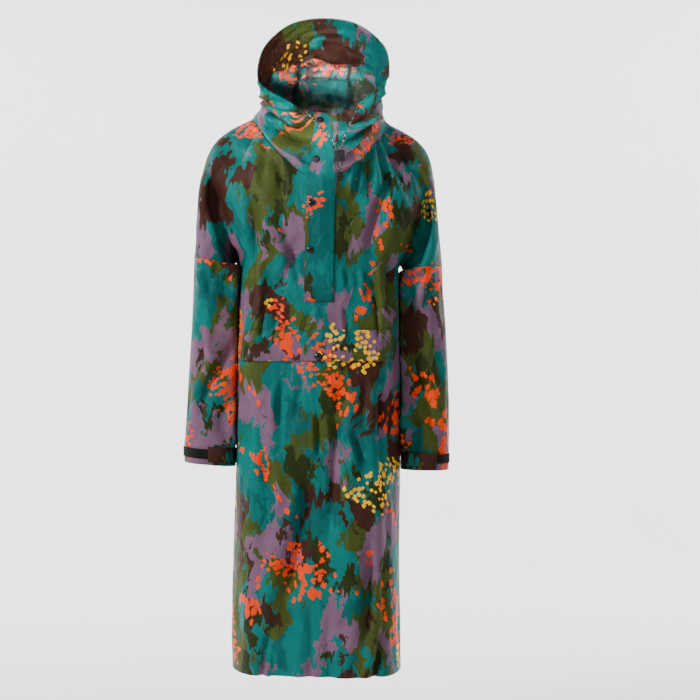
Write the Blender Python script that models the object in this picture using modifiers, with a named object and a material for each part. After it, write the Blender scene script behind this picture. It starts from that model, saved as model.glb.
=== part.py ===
# Hooded rain poncho with dropped-shoulder sleeves, as worn with no wearer.
# Metres, +Z up, front faces -Y. The origin is the middle of the shoulders, where the wearer carries it.
# "left" and "right" in the tables of sections are -X and +X; in the pieces' names they are the wearer's.
import math

import bmesh
import bpy
from mathutils import Vector

# ---------------------------------------------------------------- driving sizes
CLOTH = 0.0012              # wall of the cloth
SEAM = 0.0003               # gap between two pieces at a seam, and under a piece that lies on a panel
HEM_Z = -1.145              # skirt hem
ARMPIT_Z = -0.300           # top of the side seams
PLACKET_HALF = 0.030        # half the width of the placket
PLACKET_FOOT_Z = -0.374     # lower end of the placket
FLAP_TOP_Z = -0.432         # sewn edge of the pocket flap
FLAP_FOOT_Z = -0.496        # free edge of the pocket flap
SLIT_HALF = 0.0006          # half the gap of the front slit, under the placket
STRIP_WALL = 0.0016         # hook-and-loop tape
CORD_RADIUS = 0.00175
CORD_STEP = 0.0070          # spacing of a cord's points along it
CORD_END_STEP = 0.0022      # the same near its two ends
CORD_END = 0.0140           # length of those ends
SNAP_RADIUS = 0.0075
SNAP_HEIGHT = 0.0030
SNAP_DOME = 0.0013          # rounding of a stud's rim
ROUND_SIDES = 14            # sides of studs and eyelets
EYELET_OUTER = 0.0050
EYELET_INNER = 0.0026
EYELET_HEIGHT = 0.0013

# columns across a panel, as shares of the way between two named lines
LOBE_OUT = (0.0, 0.10, 0.30, 0.62)          # shoulder seam to the crest over the arm
LOBE_IN = (0.0, 0.36, 0.66, 0.88)           # crest over the arm to the crease
ARCH = (0.0, 0.5)                           # across the crease, above the armpit
SIDE = (0.0, 0.05, 0.16, 0.30, 0.60)        # side seam to the rib line
REACH = (0.0, 0.5)                          # rib line to the placket's edge
SWELL = 2.2                                 # roundness of the body, 2 is an ellipse

# colours of the materials
TEAL = (0.010, 0.170, 0.140)
OLIVE = (0.070, 0.090, 0.028)
MAUVE = (0.230, 0.140, 0.210)
BROWN = (0.070, 0.030, 0.025)
BLACK = (0.008, 0.008, 0.009)

# Lower sections of the panels: a row is a level of the skirt.
# z, half widths, depth at the rib lines and at the middle, x of the slit line
FRONT_LEVELS = (
    dict(z=-1.145, left=0.1808, right=0.1786, rib_left=0.126, rib_right=0.148, middle=0.148, slit=0.0020),
    dict(z=-1.040, left=0.1795, right=0.1780, rib_left=0.128, rib_right=0.148, middle=0.150, slit=0.0020),
    dict(z=-0.900, left=0.1763, right=0.1763, rib_left=0.130, rib_right=0.146, middle=0.150, slit=0.0020),
    dict(z=-0.760, left=0.1735, right=0.1763, rib_left=0.131, rib_right=0.143, middle=0.148, slit=0.0020),
    dict(z=-0.620, left=0.1722, right=0.1763, rib_left=0.131, rib_right=0.140, middle=0.146, slit=0.0022),
    dict(z=-0.496, left=0.1716, right=0.1755, rib_left=0.130, rib_right=0.136, middle=0.143, slit=0.0026),
    dict(z=-0.432, left=0.1710, right=0.1750, rib_left=0.128, rib_right=0.132, middle=0.140, slit=0.0030),
    dict(z=-0.374, left=0.1702, right=0.1745, rib_left=0.125, rib_right=0.128, middle=0.137, slit=0.0035),
)
BACK_LEVELS = (
    dict(z=-1.145, left=0.1808, right=0.1786, rib_left=0.132, rib_right=0.134, middle=0.142, slit=0.0020),
    dict(z=-1.040, left=0.1795, right=0.1780, rib_left=0.131, rib_right=0.132, middle=0.142, slit=0.0020),
    dict(z=-0.900, left=0.1763, right=0.1763, rib_left=0.128, rib_right=0.130, middle=0.140, slit=0.0020),
    dict(z=-0.760, left=0.1735, right=0.1763, rib_left=0.125, rib_right=0.127, middle=0.137, slit=0.0020),
    dict(z=-0.620, left=0.1722, right=0.1763, rib_left=0.120, rib_right=0.122, middle=0.132, slit=0.0022),
    dict(z=-0.496, left=0.1716, right=0.1755, rib_left=0.114, rib_right=0.116, middle=0.126, slit=0.0026),
    dict(z=-0.432, left=0.1710, right=0.1750, rib_left=0.112, rib_right=0.114, middle=0.124, slit=0.0030),
    dict(z=-0.374, left=0.1702, right=0.1745, rib_left=0.110, rib_right=0.112, middle=0.122, slit=0.0035),
)

# Shoulder line of both panels, from the sleeve seam up and over to the neck. A row is a section.
# Outer end of the section as x and z on each side; crest over the arm and crease beside it as x on each side
YOKE_LINES = (
    dict(left=(-0.2628, -0.277), right=(0.2688, -0.294), crest=(-0.221, 0.229), crease=(-0.1735, 0.1790)),
    dict(left=(-0.2615, -0.264), right=(0.2678, -0.280), crest=(-0.224, 0.232), crease=(-0.1795, 0.1865)),
    dict(left=(-0.2592, -0.244), right=(0.2655, -0.256), crest=(-0.230, 0.238), crease=(-0.1930, 0.2030)),
    dict(left=(-0.2560, -0.205), right=(0.2612, -0.212), crest=(-0.235, 0.244), crease=(-0.2070, 0.2200)),
    dict(left=(-0.2525, -0.160), right=(0.2560, -0.162), crest=(-0.237, 0.2455), crease=(-0.2160, 0.2320)),
    dict(left=(-0.2475, -0.110), right=(0.2498, -0.110), crest=(-0.2350, 0.2400), crease=(-0.2160, 0.2260)),
    dict(left=(-0.2360, -0.060), right=(0.2395, -0.058), crest=(-0.2200, 0.2250), crease=(-0.1920, 0.1990)),
    dict(left=(-0.2170, -0.026), right=(0.2172, -0.026), crest=(-0.1930, 0.1950), crease=(-0.1560, 0.1610)),
    dict(left=(-0.1850, 0.0000), right=(0.1850, -0.004), crest=(-0.1560, 0.1600), crease=(-0.1180, 0.1280)),
    dict(left=(-0.1400, 0.0220), right=(0.1570, 0.010), crest=(-0.1120, 0.1290), crease=(-0.0800, 0.0950)),
)
# Depths of the same sections: over the arm, in the crease, at the rib line, in the middle; height of the
# middle; how tightly the cloth turns beside the crease (1 is round, 0 a soft wave); place of the slit line
FRONT_YOKE = (
    dict(arm=0.068, crease=0.000, rib=0.121, middle=0.134, z=-0.300, tight=1.0, slit=0.0048),
    dict(arm=0.068, crease=0.017, rib=0.122, middle=0.134, z=-0.284, tight=0.8, slit=0.0051),
    dict(arm=0.067, crease=0.034, rib=0.122, middle=0.134, z=-0.262, tight=0.5, slit=0.0056),
    dict(arm=0.062, crease=0.045, rib=0.120, middle=0.133, z=-0.232, tight=0.2, slit=0.0063),
    dict(arm=0.055, crease=0.048, rib=0.116, middle=0.132, z=-0.203, tight=0.0, slit=0.0070),
    dict(arm=0.048, crease=0.050, rib=0.110, middle=0.131, z=-0.178, tight=0.0, slit=0.0078),
    dict(arm=0.041, crease=0.055, rib=0.105, middle=0.129, z=-0.156, tight=0.0, slit=0.0086),
    dict(arm=0.040, crease=0.064, rib=0.104, middle=0.128, z=-0.140, tight=0.0, slit=0.0094),
    dict(arm=0.044, crease=0.074, rib=0.105, middle=0.127, z=-0.127, tight=0.0, slit=0.0102),
    dict(arm=0.050, crease=0.086, rib=0.108, middle=0.126, z=-0.117, tight=0.0, slit=0.0108),
)
BACK_YOKE = (
    dict(arm=0.056, crease=0.000, rib=0.108, middle=0.120, z=-0.300, tight=1.0, slit=0.0048),
    dict(arm=0.056, crease=0.016, rib=0.109, middle=0.121, z=-0.275, tight=0.8, slit=0.0051),
    dict(arm=0.055, crease=0.031, rib=0.110, middle=0.122, z=-0.243, tight=0.5, slit=0.0056),
    dict(arm=0.053, crease=0.041, rib=0.111, middle=0.123, z=-0.205, tight=0.2, slit=0.0063),
    dict(arm=0.049, crease=0.044, rib=0.110, middle=0.122, z=-0.160, tight=0.0, slit=0.0070),
    dict(arm=0.044, crease=0.046, rib=0.106, middle=0.119, z=-0.114, tight=0.0, slit=0.0078),
    dict(arm=0.039, crease=0.051, rib=0.099, middle=0.113, z=-0.072, tight=0.0, slit=0.0086),
    dict(arm=0.038, crease=0.058, rib=0.092, middle=0.104, z=-0.037, tight=0.0, slit=0.0094),
    dict(arm=0.042, crease=0.064, rib=0.085, middle=0.094, z=-0.008, tight=0.0, slit=0.0102),
    dict(arm=0.044, crease=0.064, rib=0.076, middle=0.082, z=0.014, tight=0.0, slit=0.0108),
)
LEVEL_EXTRA = (1, 1, 1, 1, 1, 0, 0, 1)      # rows added after each skirt level
YOKE_EXTRA = (0, 0, 0, 1, 1, 1, 0, 0, 0)    # rows added after each yoke section
RIB_SHARE = 0.66            # rib line, as a share of the way from the middle to the side
SLEEVE_SEAM_INNER_Z = (-0.290, -0.302)      # inner end of the sleeve seams, left and right
ARCH_RISE = 0.009           # height of the underarm arch over the sleeve seam
ARCH_HALF = 0.005           # half the width of the underarm arch

FOLD_FULL_Y = 0.09          # folds fade out where the cloth comes nearer than this to the side seams
FOLD_END = 0.33             # share of a fold's length over which it dies out

# Long folds of the skirt and chest, as soft troughs (depth over 0) or ridges (under 0) along a line
FOLDS = (
    dict(name="left valley", top=(-0.012, -0.700), foot=(-0.075, -1.030), width=0.017, depth=0.009),
    dict(name="left ridge", top=(-0.060, -0.620), foot=(-0.118, -1.145), width=0.022, depth=-0.006),
    dict(name="hem pleat", top=(-0.095, -1.040), foot=(-0.112, -1.145), width=0.013, depth=0.010),
    dict(name="middle valley", top=(0.050, -0.520), foot=(0.020, -0.900), width=0.018, depth=0.007),
    dict(name="right valley", top=(0.112, -0.840), foot=(0.096, -1.100), width=0.016, depth=0.009),
    dict(name="right ridge", top=(0.070, -0.800), foot=(0.060, -1.145), width=0.022, depth=-0.006),
    dict(name="corner pleat", top=(0.140, -1.030), foot=(0.118, -1.145), width=0.013, depth=0.008),
    dict(name="left chest", top=(-0.150, -0.060), foot=(-0.110, -0.330), width=0.018, depth=0.007),
    dict(name="right chest", top=(0.165, -0.060), foot=(0.105, -0.300), width=0.018, depth=0.007),
)
BACK_FOLDS = (
    dict(name="left valley", top=(-0.050, -0.560), foot=(-0.085, -1.120), width=0.018, depth=0.009),
    dict(name="left ridge", top=(-0.090, -0.480), foot=(-0.130, -1.145), width=0.020, depth=-0.005),
    dict(name="middle valley", top=(0.020, -0.620), foot=(0.005, -1.145), width=0.020, depth=0.008),
    dict(name="right valley", top=(0.080, -0.560), foot=(0.100, -1.145), width=0.018, depth=0.009),
    dict(name="blade left", top=(-0.140, -0.080), foot=(-0.090, -0.360), width=0.020, depth=0.007),
    dict(name="blade right", top=(0.150, -0.080), foot=(0.100, -0.380), width=0.020, depth=0.007),
)

# Sleeve sections from the seam down to the cuff: outer and inner line as x and z, depth in front of and
# behind the arm's line, and that line's y
SLEEVE_RIGHT = (
    dict(outer=(-0.2652, -0.335), inner=(-0.1736, -0.340), front=0.066, back=0.056, y=0.000),
    dict(outer=(-0.2690, -0.420), inner=(-0.1732, -0.424), front=0.064, back=0.056, y=-0.002),
    dict(outer=(-0.2745, -0.510), inner=(-0.1738, -0.515), front=0.061, back=0.055, y=-0.004),
    dict(outer=(-0.2795, -0.600), inner=(-0.1746, -0.606), front=0.058, back=0.052, y=-0.006),
    dict(outer=(-0.2825, -0.645), inner=(-0.1750, -0.653), front=0.056, back=0.050, y=-0.007),
)
SLEEVE_LEFT = (
    dict(outer=(0.2705, -0.345), inner=(0.1782, -0.348), front=0.066, back=0.056, y=0.000),
    dict(outer=(0.2765, -0.430), inner=(0.1782, -0.433), front=0.064, back=0.056, y=-0.002),
    dict(outer=(0.2805, -0.520), inner=(0.1786, -0.523), front=0.061, back=0.055, y=-0.004),
    dict(outer=(0.2817, -0.600), inner=(0.1790, -0.603), front=0.058, back=0.052, y=-0.006),
    dict(outer=(0.2817, -0.655), inner=(0.1792, -0.658), front=0.056, back=0.050, y=-0.007),
)
CUFF_RIGHT = dict(outer=(-0.2850, -0.7110), inner=(-0.1752, -0.7205), front=0.055, back=0.048, y=-0.008)
CUFF_LEFT = dict(outer=(0.2817, -0.7280), inner=(0.1793, -0.7270), front=0.055, back=0.048, y=-0.008)
# rows of a cuff as heights over its hem: free edge of the tab, strip, strip, tab
CUFF_ROWS_RIGHT = (0.0, 0.0060, 0.0130, 0.0330, 0.0390)
CUFF_ROWS_LEFT = (0.0, 0.0012, 0.0150, 0.0345, 0.0370)

# Hood: lines that run from the face edge back to the neckline. u counts the neckline from the slit round
# the wearer's right (0 to 4), the back (4 to 10) and the left (10 to 14). Four points on each line.
HOOD_LINES = (
    dict(u=0, edge=(0.0222, -0.118, 0.0158), roll=(0.0208, -0.133, -0.012), wall=(0.0168, -0.141, -0.055),
         base=(0.0132, -0.136, -0.092)),
    dict(u=1, edge=(-0.0249, -0.115, 0.0243), roll=(-0.0300, -0.132, -0.003), wall=(-0.0370, -0.139, -0.042),
         base=(-0.0380, -0.131, -0.080)),
    dict(u=2, edge=(-0.0667, -0.100, 0.0499), roll=(-0.0740, -0.114, 0.026), wall=(-0.0800, -0.121, -0.005),
         base=(-0.0840, -0.113, -0.036)),
    dict(u=3, edge=(-0.1113, -0.075, 0.0793), roll=(-0.1135, -0.084, 0.058), wall=(-0.1155, -0.084, 0.035),
         base=(-0.1200, -0.070, 0.012)),
    dict(u=4, edge=(-0.1266, -0.062, 0.1094), roll=(-0.1160, -0.036, 0.090), wall=(-0.1110, -0.012, 0.066),
         base=(-0.1200, -0.004, 0.042)),
    dict(u=5, edge=(-0.1118, -0.055, 0.1684), roll=(-0.1040, -0.010, 0.145), wall=(-0.0980, 0.038, 0.106),
         base=(-0.1040, 0.050, 0.056)),
    dict(u=6, edge=(-0.0572, -0.045, 0.2180), roll=(-0.0540, -0.002, 0.190), wall=(-0.0520, 0.062, 0.140),
         base=(-0.0560, 0.098, 0.082)),
    dict(u=7, edge=(0.0149, -0.040, 0.2322), roll=(0.0149, 0.000, 0.203), wall=(0.0149, 0.070, 0.150),
         base=(0.0149, 0.112, 0.092)),
    dict(u=8, edge=(0.0870, -0.045, 0.2180), roll=(0.0838, -0.002, 0.190), wall=(0.0818, 0.062, 0.140),
         base=(0.0818, 0.098, 0.080)),
    dict(u=9, edge=(0.1435, -0.055, 0.1684), roll=(0.1358, -0.010, 0.145), wall=(0.1268, 0.038, 0.104),
         base=(0.1268, 0.050, 0.052)),
    dict(u=10, edge=(0.1530, -0.062, 0.1136), roll=(0.1445, -0.036, 0.092), wall=(0.1385, -0.012, 0.062),
         base=(0.1425, -0.004, 0.034)),
    dict(u=11, edge=(0.1449, -0.075, 0.0940), roll=(0.1445, -0.084, 0.066), wall=(0.1405, -0.082, 0.036),
         base=(0.1405, -0.066, 0.010)),
    dict(u=12, edge=(0.1104, -0.096, 0.0603), roll=(0.1120, -0.112, 0.032), wall=(0.1130, -0.118, -0.001),
         base=(0.1120, -0.110, -0.030)),
    dict(u=13, edge=(0.0683, -0.113, 0.0258), roll=(0.0720, -0.130, -0.003), wall=(0.0720, -0.138, -0.040),
         base=(0.0680, -0.131, -0.076)),
    dict(u=14, edge=(0.0234, -0.118, 0.0158), roll=(0.0220, -0.133, -0.012), wall=(0.0180, -0.141, -0.055),
         base=(0.0144, -0.136, -0.092)),
)
HOOD_LINE_SHARES = (0.0, 0.22, 0.52, 0.78, 1.0)     # where edge, roll, wall, base and neckline lie on a line
HOOD_ROWS = (0.0, 0.10, 0.22, 0.36, 0.52, 0.68, 0.84, 1.0)
GUSSET_FROM_U = 6.15        # seams of the hood's gusset
GUSSET_TO_U = 7.85
FACING_ROWS = 3             # rows of the hood that the facing runs under
FACING_DROP = 0.020         # how far the facing's free edge hangs off the crown
FACING_CURL = 1.5           # how late that drop comes over the facing's width
FACING_FROM_U = 2.6
FACING_TO_U = 11.4

# Press studs of the placket: height, and how far each stands off the strip to clear its bend
SNAPS = (
    dict(name="snap_collar", z=-0.001, off=0.0004),
    dict(name="snap_neck", z=-0.079, off=0.0008),
    dict(name="snap_chest", z=-0.170, off=0.0010),
    dict(name="snap_low", z=-0.267, off=0.0002),
)
SNAP_OFF = 0.018            # the studs' line, off the middle of the placket towards the wearer's right
POCKET_SNAP_RISE = 0.010    # pocket stud over the flap's free edge

# Drawcord: eyelets in the collar (row and u of the hood), the lock, and the stopper on both ends
EYELET_RIGHT_U = 1.00
EYELET_LEFT_U = 12.75
LOCK = (0.0463, -0.1496, -0.0748)
LOCK_SIZE = (0.0230, 0.0120, 0.0230)
LOCK_HOLE_OFF = 0.0055
LOCK_HOLE_RADIUS = 0.0024
LOCK_LEAD = 0.0050          # straight length of a cord beside the lock and the stopper
LOCK_EDGE = 0.0028          # rounding of the lock's edges
BUTTON_RADIUS = 0.0030
BUTTON_HEIGHT = 0.0065
STOPPER = (0.0466, -0.1465, -0.1165)
STOPPER_SIZE = (0.0095, 0.0080, 0.0205)
STOPPER_EDGE = 0.0022
TAIL_OFF = 0.00225
EXIT_RISE = 0.0044          # straight length of a cord in its eyelet
# waypoints of each cord between its eyelet and the lock
CORD_RIGHT_WAY = ((-0.0170, -0.1305, 0.0135), (-0.0060, -0.1345, 0.0010), (0.0060, -0.1400, -0.0130),
                  (0.0220, -0.1445, -0.0310))
CORD_LEFT_WAY = ((0.0795, -0.1260, 0.0180), (0.0715, -0.1330, 0.0020), (0.0635, -0.1395, -0.0160),
                 (0.0570, -0.1445, -0.0340))


# ---------------------------------------------------------------- helpers
def clear_scene():
    for item in list(bpy.data.objects):
        bpy.data.objects.remove(item, do_unlink=True)


def make_collection(name):
    collection = bpy.data.collections.new(name)
    bpy.context.scene.collection.children.link(collection)
    return collection


def make_material(name, colour, roughness, metallic=0.0):
    material = bpy.data.materials.new(name)
    material.use_nodes = True
    shader = material.node_tree.nodes["Principled BSDF"]
    shader.inputs["Base Color"].default_value = (*colour, 1.0)
    shader.inputs["Roughness"].default_value = roughness
    shader.inputs["Metallic"].default_value = metallic
    return material


def mix(a, b, share):
    return a + (b - a) * share


def bulge(share):
    # quarter of a rounded section: 0 at the seam, 1 at the crest
    share = min(max(share, 0.0), 1.0)
    return (1.0 - (1.0 - share) ** SWELL) ** (1.0 / SWELL)


def wave(share):
    share = min(max(share, 0.0), 1.0)
    return 0.5 - 0.5 * math.cos(math.pi * share)


def hermite(values, stations, at):
    # smooth curve through the values, one for each station
    last = len(stations) - 1
    k = 0
    while k < last - 1 and at > stations[k + 1]:
        k += 1

    def slope(i):
        low = max(i - 1, 0)
        high = min(i + 1, last)
        return (values[high] - values[low]) / (stations[high] - stations[low])

    span = stations[k + 1] - stations[k]
    t = (at - stations[k]) / span
    t2 = t * t
    t3 = t2 * t
    return (values[k] * (2 * t3 - 3 * t2 + 1) + slope(k) * (span * (t3 - 2 * t2 + t))
            + values[k + 1] * (3 * t2 - 2 * t3) + slope(k + 1) * (span * (t3 - t2)))


def between(rows, counts):
    # adds rows between the given ones on smooth curves, counts[k] of them after row k
    stations = [0.0]
    for k in range(1, len(rows)):
        reach = [(a - b).length for a, b in zip(rows[k], rows[k - 1]) if a is not None and b is not None]
        stations.append(stations[-1] + sum(reach) / len(reach))
    result = []
    for k, row in enumerate(rows):
        result.append(list(row))
        extra = counts[k] if k < len(rows) - 1 else 0
        for step in range(extra):
            at = mix(stations[k], stations[k + 1], (step + 1) / (extra + 1))
            result.append([hermite([r[j] for r in rows], stations, at) for j in range(len(row))])
    return result


def grid_normals(grid, wrap, flip, open_cells=frozenset()):
    # unit normal at each point of the grid, the faces round it counting alike
    normals = [[Vector((0, 0, 0)) for _ in row] for row in grid]
    for corners in grid_faces(grid, wrap, open_cells):
        points = [grid[i][j] for i, j in corners]
        normal = (points[2] - points[0]).cross(points[3] - points[1]).normalized()
        for i, j in corners:
            normals[i][j] += normal
    sign = -1.0 if flip else 1.0
    for row in normals:
        for normal in row:
            if normal.length > 0:
                normal.normalize()
                normal *= sign
    return normals


def grid_faces(grid, wrap, open_cells):
    # cells of the grid that hold cloth: none beside a missing point, none in open_cells. A cell is cut from
    # its first corner to its third, in mirrored directions on the two halves of the grid
    width = len(grid[0])
    faces = []
    for i in range(len(grid) - 1):
        for j in range(width if wrap else width - 1):
            k = (j + 1) % width
            corners = ((i, j), (i, k), (i + 1, k), (i + 1, j))
            if all(grid[a][b] is not None for a, b in corners) and (i, j) not in open_cells:
                faces.append(corners[1:] + corners[:1] if 2 * k < width else corners)
    return faces


def square_to(normal, directions):
    # turns an edge normal so that the cut edge lies in the seam's plane
    result = normal.copy()
    for direction in directions:
        result -= direction * result.dot(direction)
    return result.normalized()


def build_wall(name, grid, normals, wrap, flip, thickness, material, collection, lift=0.0,
               open_cells=frozenset()):
    # closed wall of even thickness on both sides of the grid, with a rim along every open edge
    mesh = bmesh.new()
    outer = {}
    inner = {}
    faces = grid_faces(grid, wrap, open_cells)
    for corners in faces:
        for key in corners:
            if key not in outer:
                point = grid[key[0]][key[1]]
                normal = normals[key[0]][key[1]]
                outer[key] = mesh.verts.new(point + normal * (lift + thickness / 2))
                inner[key] = mesh.verts.new(point + normal * (lift - thickness / 2))
    edges = set()
    for first, second, third, fourth in faces:
        for corners in ((first, second, third), (first, third, fourth)):
            order = corners[::-1] if flip else corners
            mesh.faces.new([outer[key] for key in order])
            mesh.faces.new([inner[key] for key in order[::-1]])
            edges.update(zip(order, order[1:] + order[:1]))
    for a, b in edges:
        if (b, a) not in edges:
            mesh.faces.new([outer[b], outer[a], inner[a], inner[b]])
    data = bpy.data.meshes.new(name)
    mesh.to_mesh(data)
    mesh.free()
    data.materials.append(material)
    data.shade_smooth()
    data.set_sharp_from_angle(angle=math.radians(50))
    part = bpy.data.objects.new(name, data)
    collection.objects.link(part)
    return part


# ---------------------------------------------------------------- body panels
def body_side(line, level, hand, front):
    # points of one section from the outer seam to the slit line, on one side of the body
    side = 0 if hand < 0 else 1
    sign = -1.0 if front else 1.0
    outer_x, outer_z = line["left"] if hand < 0 else line["right"]
    slit = level["slit"]
    placket_x = slit + hand * PLACKET_HALF
    rib_x = mix(slit, line["crease"][side], RIB_SHARE)
    crest_x = line["crest"][side]
    crease_x = line["crease"][side]

    def height(x):
        share = (x - outer_x) / (slit - outer_x)
        return mix(outer_z, level["z"], math.sin(share * math.pi / 2))

    arch = ARCH_HALF if level["tight"] > 0 else ARCH_HALF * 1.5
    crease_out = crease_x + hand * arch
    crease_in = crease_x - hand * arch
    stations = [hand * x for x in (slit, rib_x, crease_x, crest_x, outer_x)]
    squares = [level[name] ** 2 for name in ("middle", "rib", "crease", "arm")] + [0.0]

    def depth(x, tight_depth):
        # soft section through the named depths, which the tight turns beside the armpit take over
        soft = math.sqrt(max(hermite(squares, stations, hand * x), 0.0))
        return mix(soft, tight_depth, level["tight"])

    points = []
    for share in LOBE_OUT:
        x = mix(outer_x, crest_x, share)
        points.append((x, depth(x, level["arm"] * bulge(share))))
    for share in LOBE_IN:
        x = mix(crest_x, crease_out, share)
        points.append((x, depth(x, mix(level["crease"], level["arm"], bulge(1 - share)))))
    for share in ARCH:
        x = mix(crease_out, crease_in, share)
        points.append((x, depth(x, level["crease"])))
    for share in SIDE:
        x = mix(crease_in, rib_x, share)
        points.append((x, depth(x, mix(level["crease"], level["rib"], bulge(share)))))
    for share in REACH + (1.0,):
        x = mix(rib_x, placket_x, share)
        reach = abs(x - rib_x) / abs(slit - rib_x)
        points.append((x, depth(x, mix(level["rib"], level["middle"], wave(reach)))))
    points.append((slit + hand * (SLIT_HALF if front else 0.0), level["middle"]))
    return [Vector((x, sign * deep, height(x))) for x, deep in points]


LOBE_COLUMNS = len(LOBE_OUT) + len(LOBE_IN)         # columns over the arm
CREASE_COLUMNS = len(ARCH)                          # columns of the crease
SIDE_COLUMNS = LOBE_COLUMNS + CREASE_COLUMNS + len(SIDE) + len(REACH) + 2


def junction_heights(points, hand):
    # on the lowest yoke section the arm's columns lie in the sleeve seam's plane
    side = 0 if hand < 0 else 1
    outer = points[0]
    seam_z = SLEEVE_SEAM_INNER_Z[side]
    inner_x = points[LOBE_COLUMNS].x
    for j in range(LOBE_COLUMNS + 1):
        share = (points[j].x - outer.x) / (inner_x - outer.x)
        points[j].z = mix(outer.z, seam_z, share)
    points[LOBE_COLUMNS + 1].z = seam_z + ARCH_RISE
    torso = points[LOBE_COLUMNS + CREASE_COLUMNS:]
    for point in torso:
        point.z = ARMPIT_Z
    return points


def torso_side(level, hand, front):
    # points of a level of the skirt from the side seam to the slit line
    sign = -1.0 if front else 1.0
    edge_x = -level["left"] if hand < 0 else level["right"]
    rib = level["rib_left"] if hand < 0 else level["rib_right"]
    slit = level["slit"]
    placket_x = slit + hand * PLACKET_HALF
    rib_x = mix(slit, edge_x, RIB_SHARE)
    points = []
    for share in SIDE:
        points.append((mix(edge_x, rib_x, share), rib * bulge(share)))
    for share in REACH + (1.0,):
        x = mix(rib_x, placket_x, share)
        reach = abs(x - rib_x) / abs(slit - rib_x)
        points.append((x, mix(rib, level["middle"], wave(reach))))
    points.append((slit + hand * (SLIT_HALF if front else 0.0), level["middle"]))
    return [Vector((x, sign * depth, level["z"])) for x, depth in points]


def fold_depth(x, z, folds):
    total = 0.0
    for fold in folds:
        (x0, z0), (x1, z1) = fold["top"], fold["foot"]
        along = ((x - x0) * (x1 - x0) + (z - z0) * (z1 - z0)) / ((x1 - x0) ** 2 + (z1 - z0) ** 2)
        inside = min(max(along, 0.0), 1.0)
        foot_x = mix(x0, x1, inside)
        foot_z = mix(z0, z1, inside)
        off = math.hypot(x - foot_x, z - foot_z)
        # a fold dies out at its upper end and runs through to the hem
        fade = wave(inside / FOLD_END)
        if z1 > HEM_Z:
            fade *= wave((1.0 - inside) / FOLD_END)
        total += fold["depth"] * fade * math.exp(-(off / fold["width"]) ** 2)
    return total


def joined(right, left, front):
    # one row of a panel: the back's two halves share their middle point, the front's stand apart at the slit
    return right + (left[::-1] if front else left[-2::-1])


def panel_grid(levels, yoke, front, folds):
    # whole panel: rows from the hem to the neckline, columns from the wearer's right to the left
    arm = LOBE_COLUMNS + CREASE_COLUMNS
    lower = [joined(torso_side(level, -1, front), torso_side(level, 1, front), front) for level in levels]
    upper = []
    for line, level in zip(YOKE_LINES, yoke):
        right = body_side(line, level, -1, front)
        left = body_side(line, level, 1, front)
        if level is yoke[0]:
            right = junction_heights(right, -1)
            left = junction_heights(left, 1)
        upper.append(joined(right, left, front))
    lower = between(lower + [upper[0][arm:-arm]], LEVEL_EXTRA)[:-1]
    blank = [None] * arm
    grid = [blank + row + blank for row in lower]
    grid += between(upper, YOKE_EXTRA)
    sign = -1.0 if front else 1.0
    for row in grid:
        for point in row:
            if point is not None:
                share = min(abs(point.y) / FOLD_FULL_Y, 1.0)
                point.y -= sign * fold_depth(point.x, point.z, folds) * share * share
                point.y = sign * max(sign * point.y, 0.0) + sign * SEAM / 2
    for row in lower_rows(grid):
        for j in (LOBE_COLUMNS + CREASE_COLUMNS, len(row) - 1 - LOBE_COLUMNS - CREASE_COLUMNS):
            row[j].y = sign * SEAM / 2
    return grid


def lower_rows(grid):
    # rows below the armpit, which run from side seam to side seam
    return [row for row in grid if row[0] is None]


def seam_plane(hand):
    # unit vector square to the sleeve seam's plane
    side = 0 if hand < 0 else 1
    outer = YOKE_LINES[0]["left"] if hand < 0 else YOKE_LINES[0]["right"]
    inner = (YOKE_LINES[0]["crease"][side] + hand * ARCH_HALF, SLEEVE_SEAM_INNER_Z[side])
    run = Vector((inner[0] - outer[0], 0.0, inner[1] - outer[1])).normalized()
    normal = Vector((-run.z, 0.0, run.x))
    return normal if normal.z > 0 else -normal


def panel_normals(grid, front, open_cells=frozenset()):
    normals = grid_normals(grid, False, not front, open_cells)
    y_axis = Vector((0, 1, 0))
    z_axis = Vector((0, 0, 1))
    x_axis = Vector((1, 0, 0))
    width = len(grid[0])
    junction = next(i for i, row in enumerate(grid) if row[0] is not None)
    arm = LOBE_COLUMNS
    crease = LOBE_COLUMNS + CREASE_COLUMNS
    for i, row in enumerate(grid):
        for j, point in enumerate(row):
            if point is None:
                continue
            rules = []
            hand = -1 if j < width // 2 else 1
            k = j if hand < 0 else width - 1 - j
            if i == 0:
                rules.append(z_axis)
            if i <= junction and k == crease:
                rules.append(y_axis)
            if i == junction and arm <= k <= crease:
                rules.append(y_axis)
            if i >= junction and k == 0:
                rules.append(y_axis)
            if i == junction and k <= arm:
                rules.append(seam_plane(hand))
            if front and k == SIDE_COLUMNS - 1 and i > junction - 4:
                rules.append(x_axis)
            if rules:
                normals[i][j] = square_to(normals[i][j], rules)
    return normals


def sleeve_seam_lift(grid):
    # leaves half a seam's gap between the panels and the sleeves
    width = len(grid[0])
    junction = next(i for i, row in enumerate(grid) if row[0] is not None)
    for hand in (-1, 1):
        normal = seam_plane(hand)
        for k in range(LOBE_COLUMNS + 1):
            j = k if hand < 0 else width - 1 - k
            grid[junction][j] += normal * (SEAM / 2)


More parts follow.
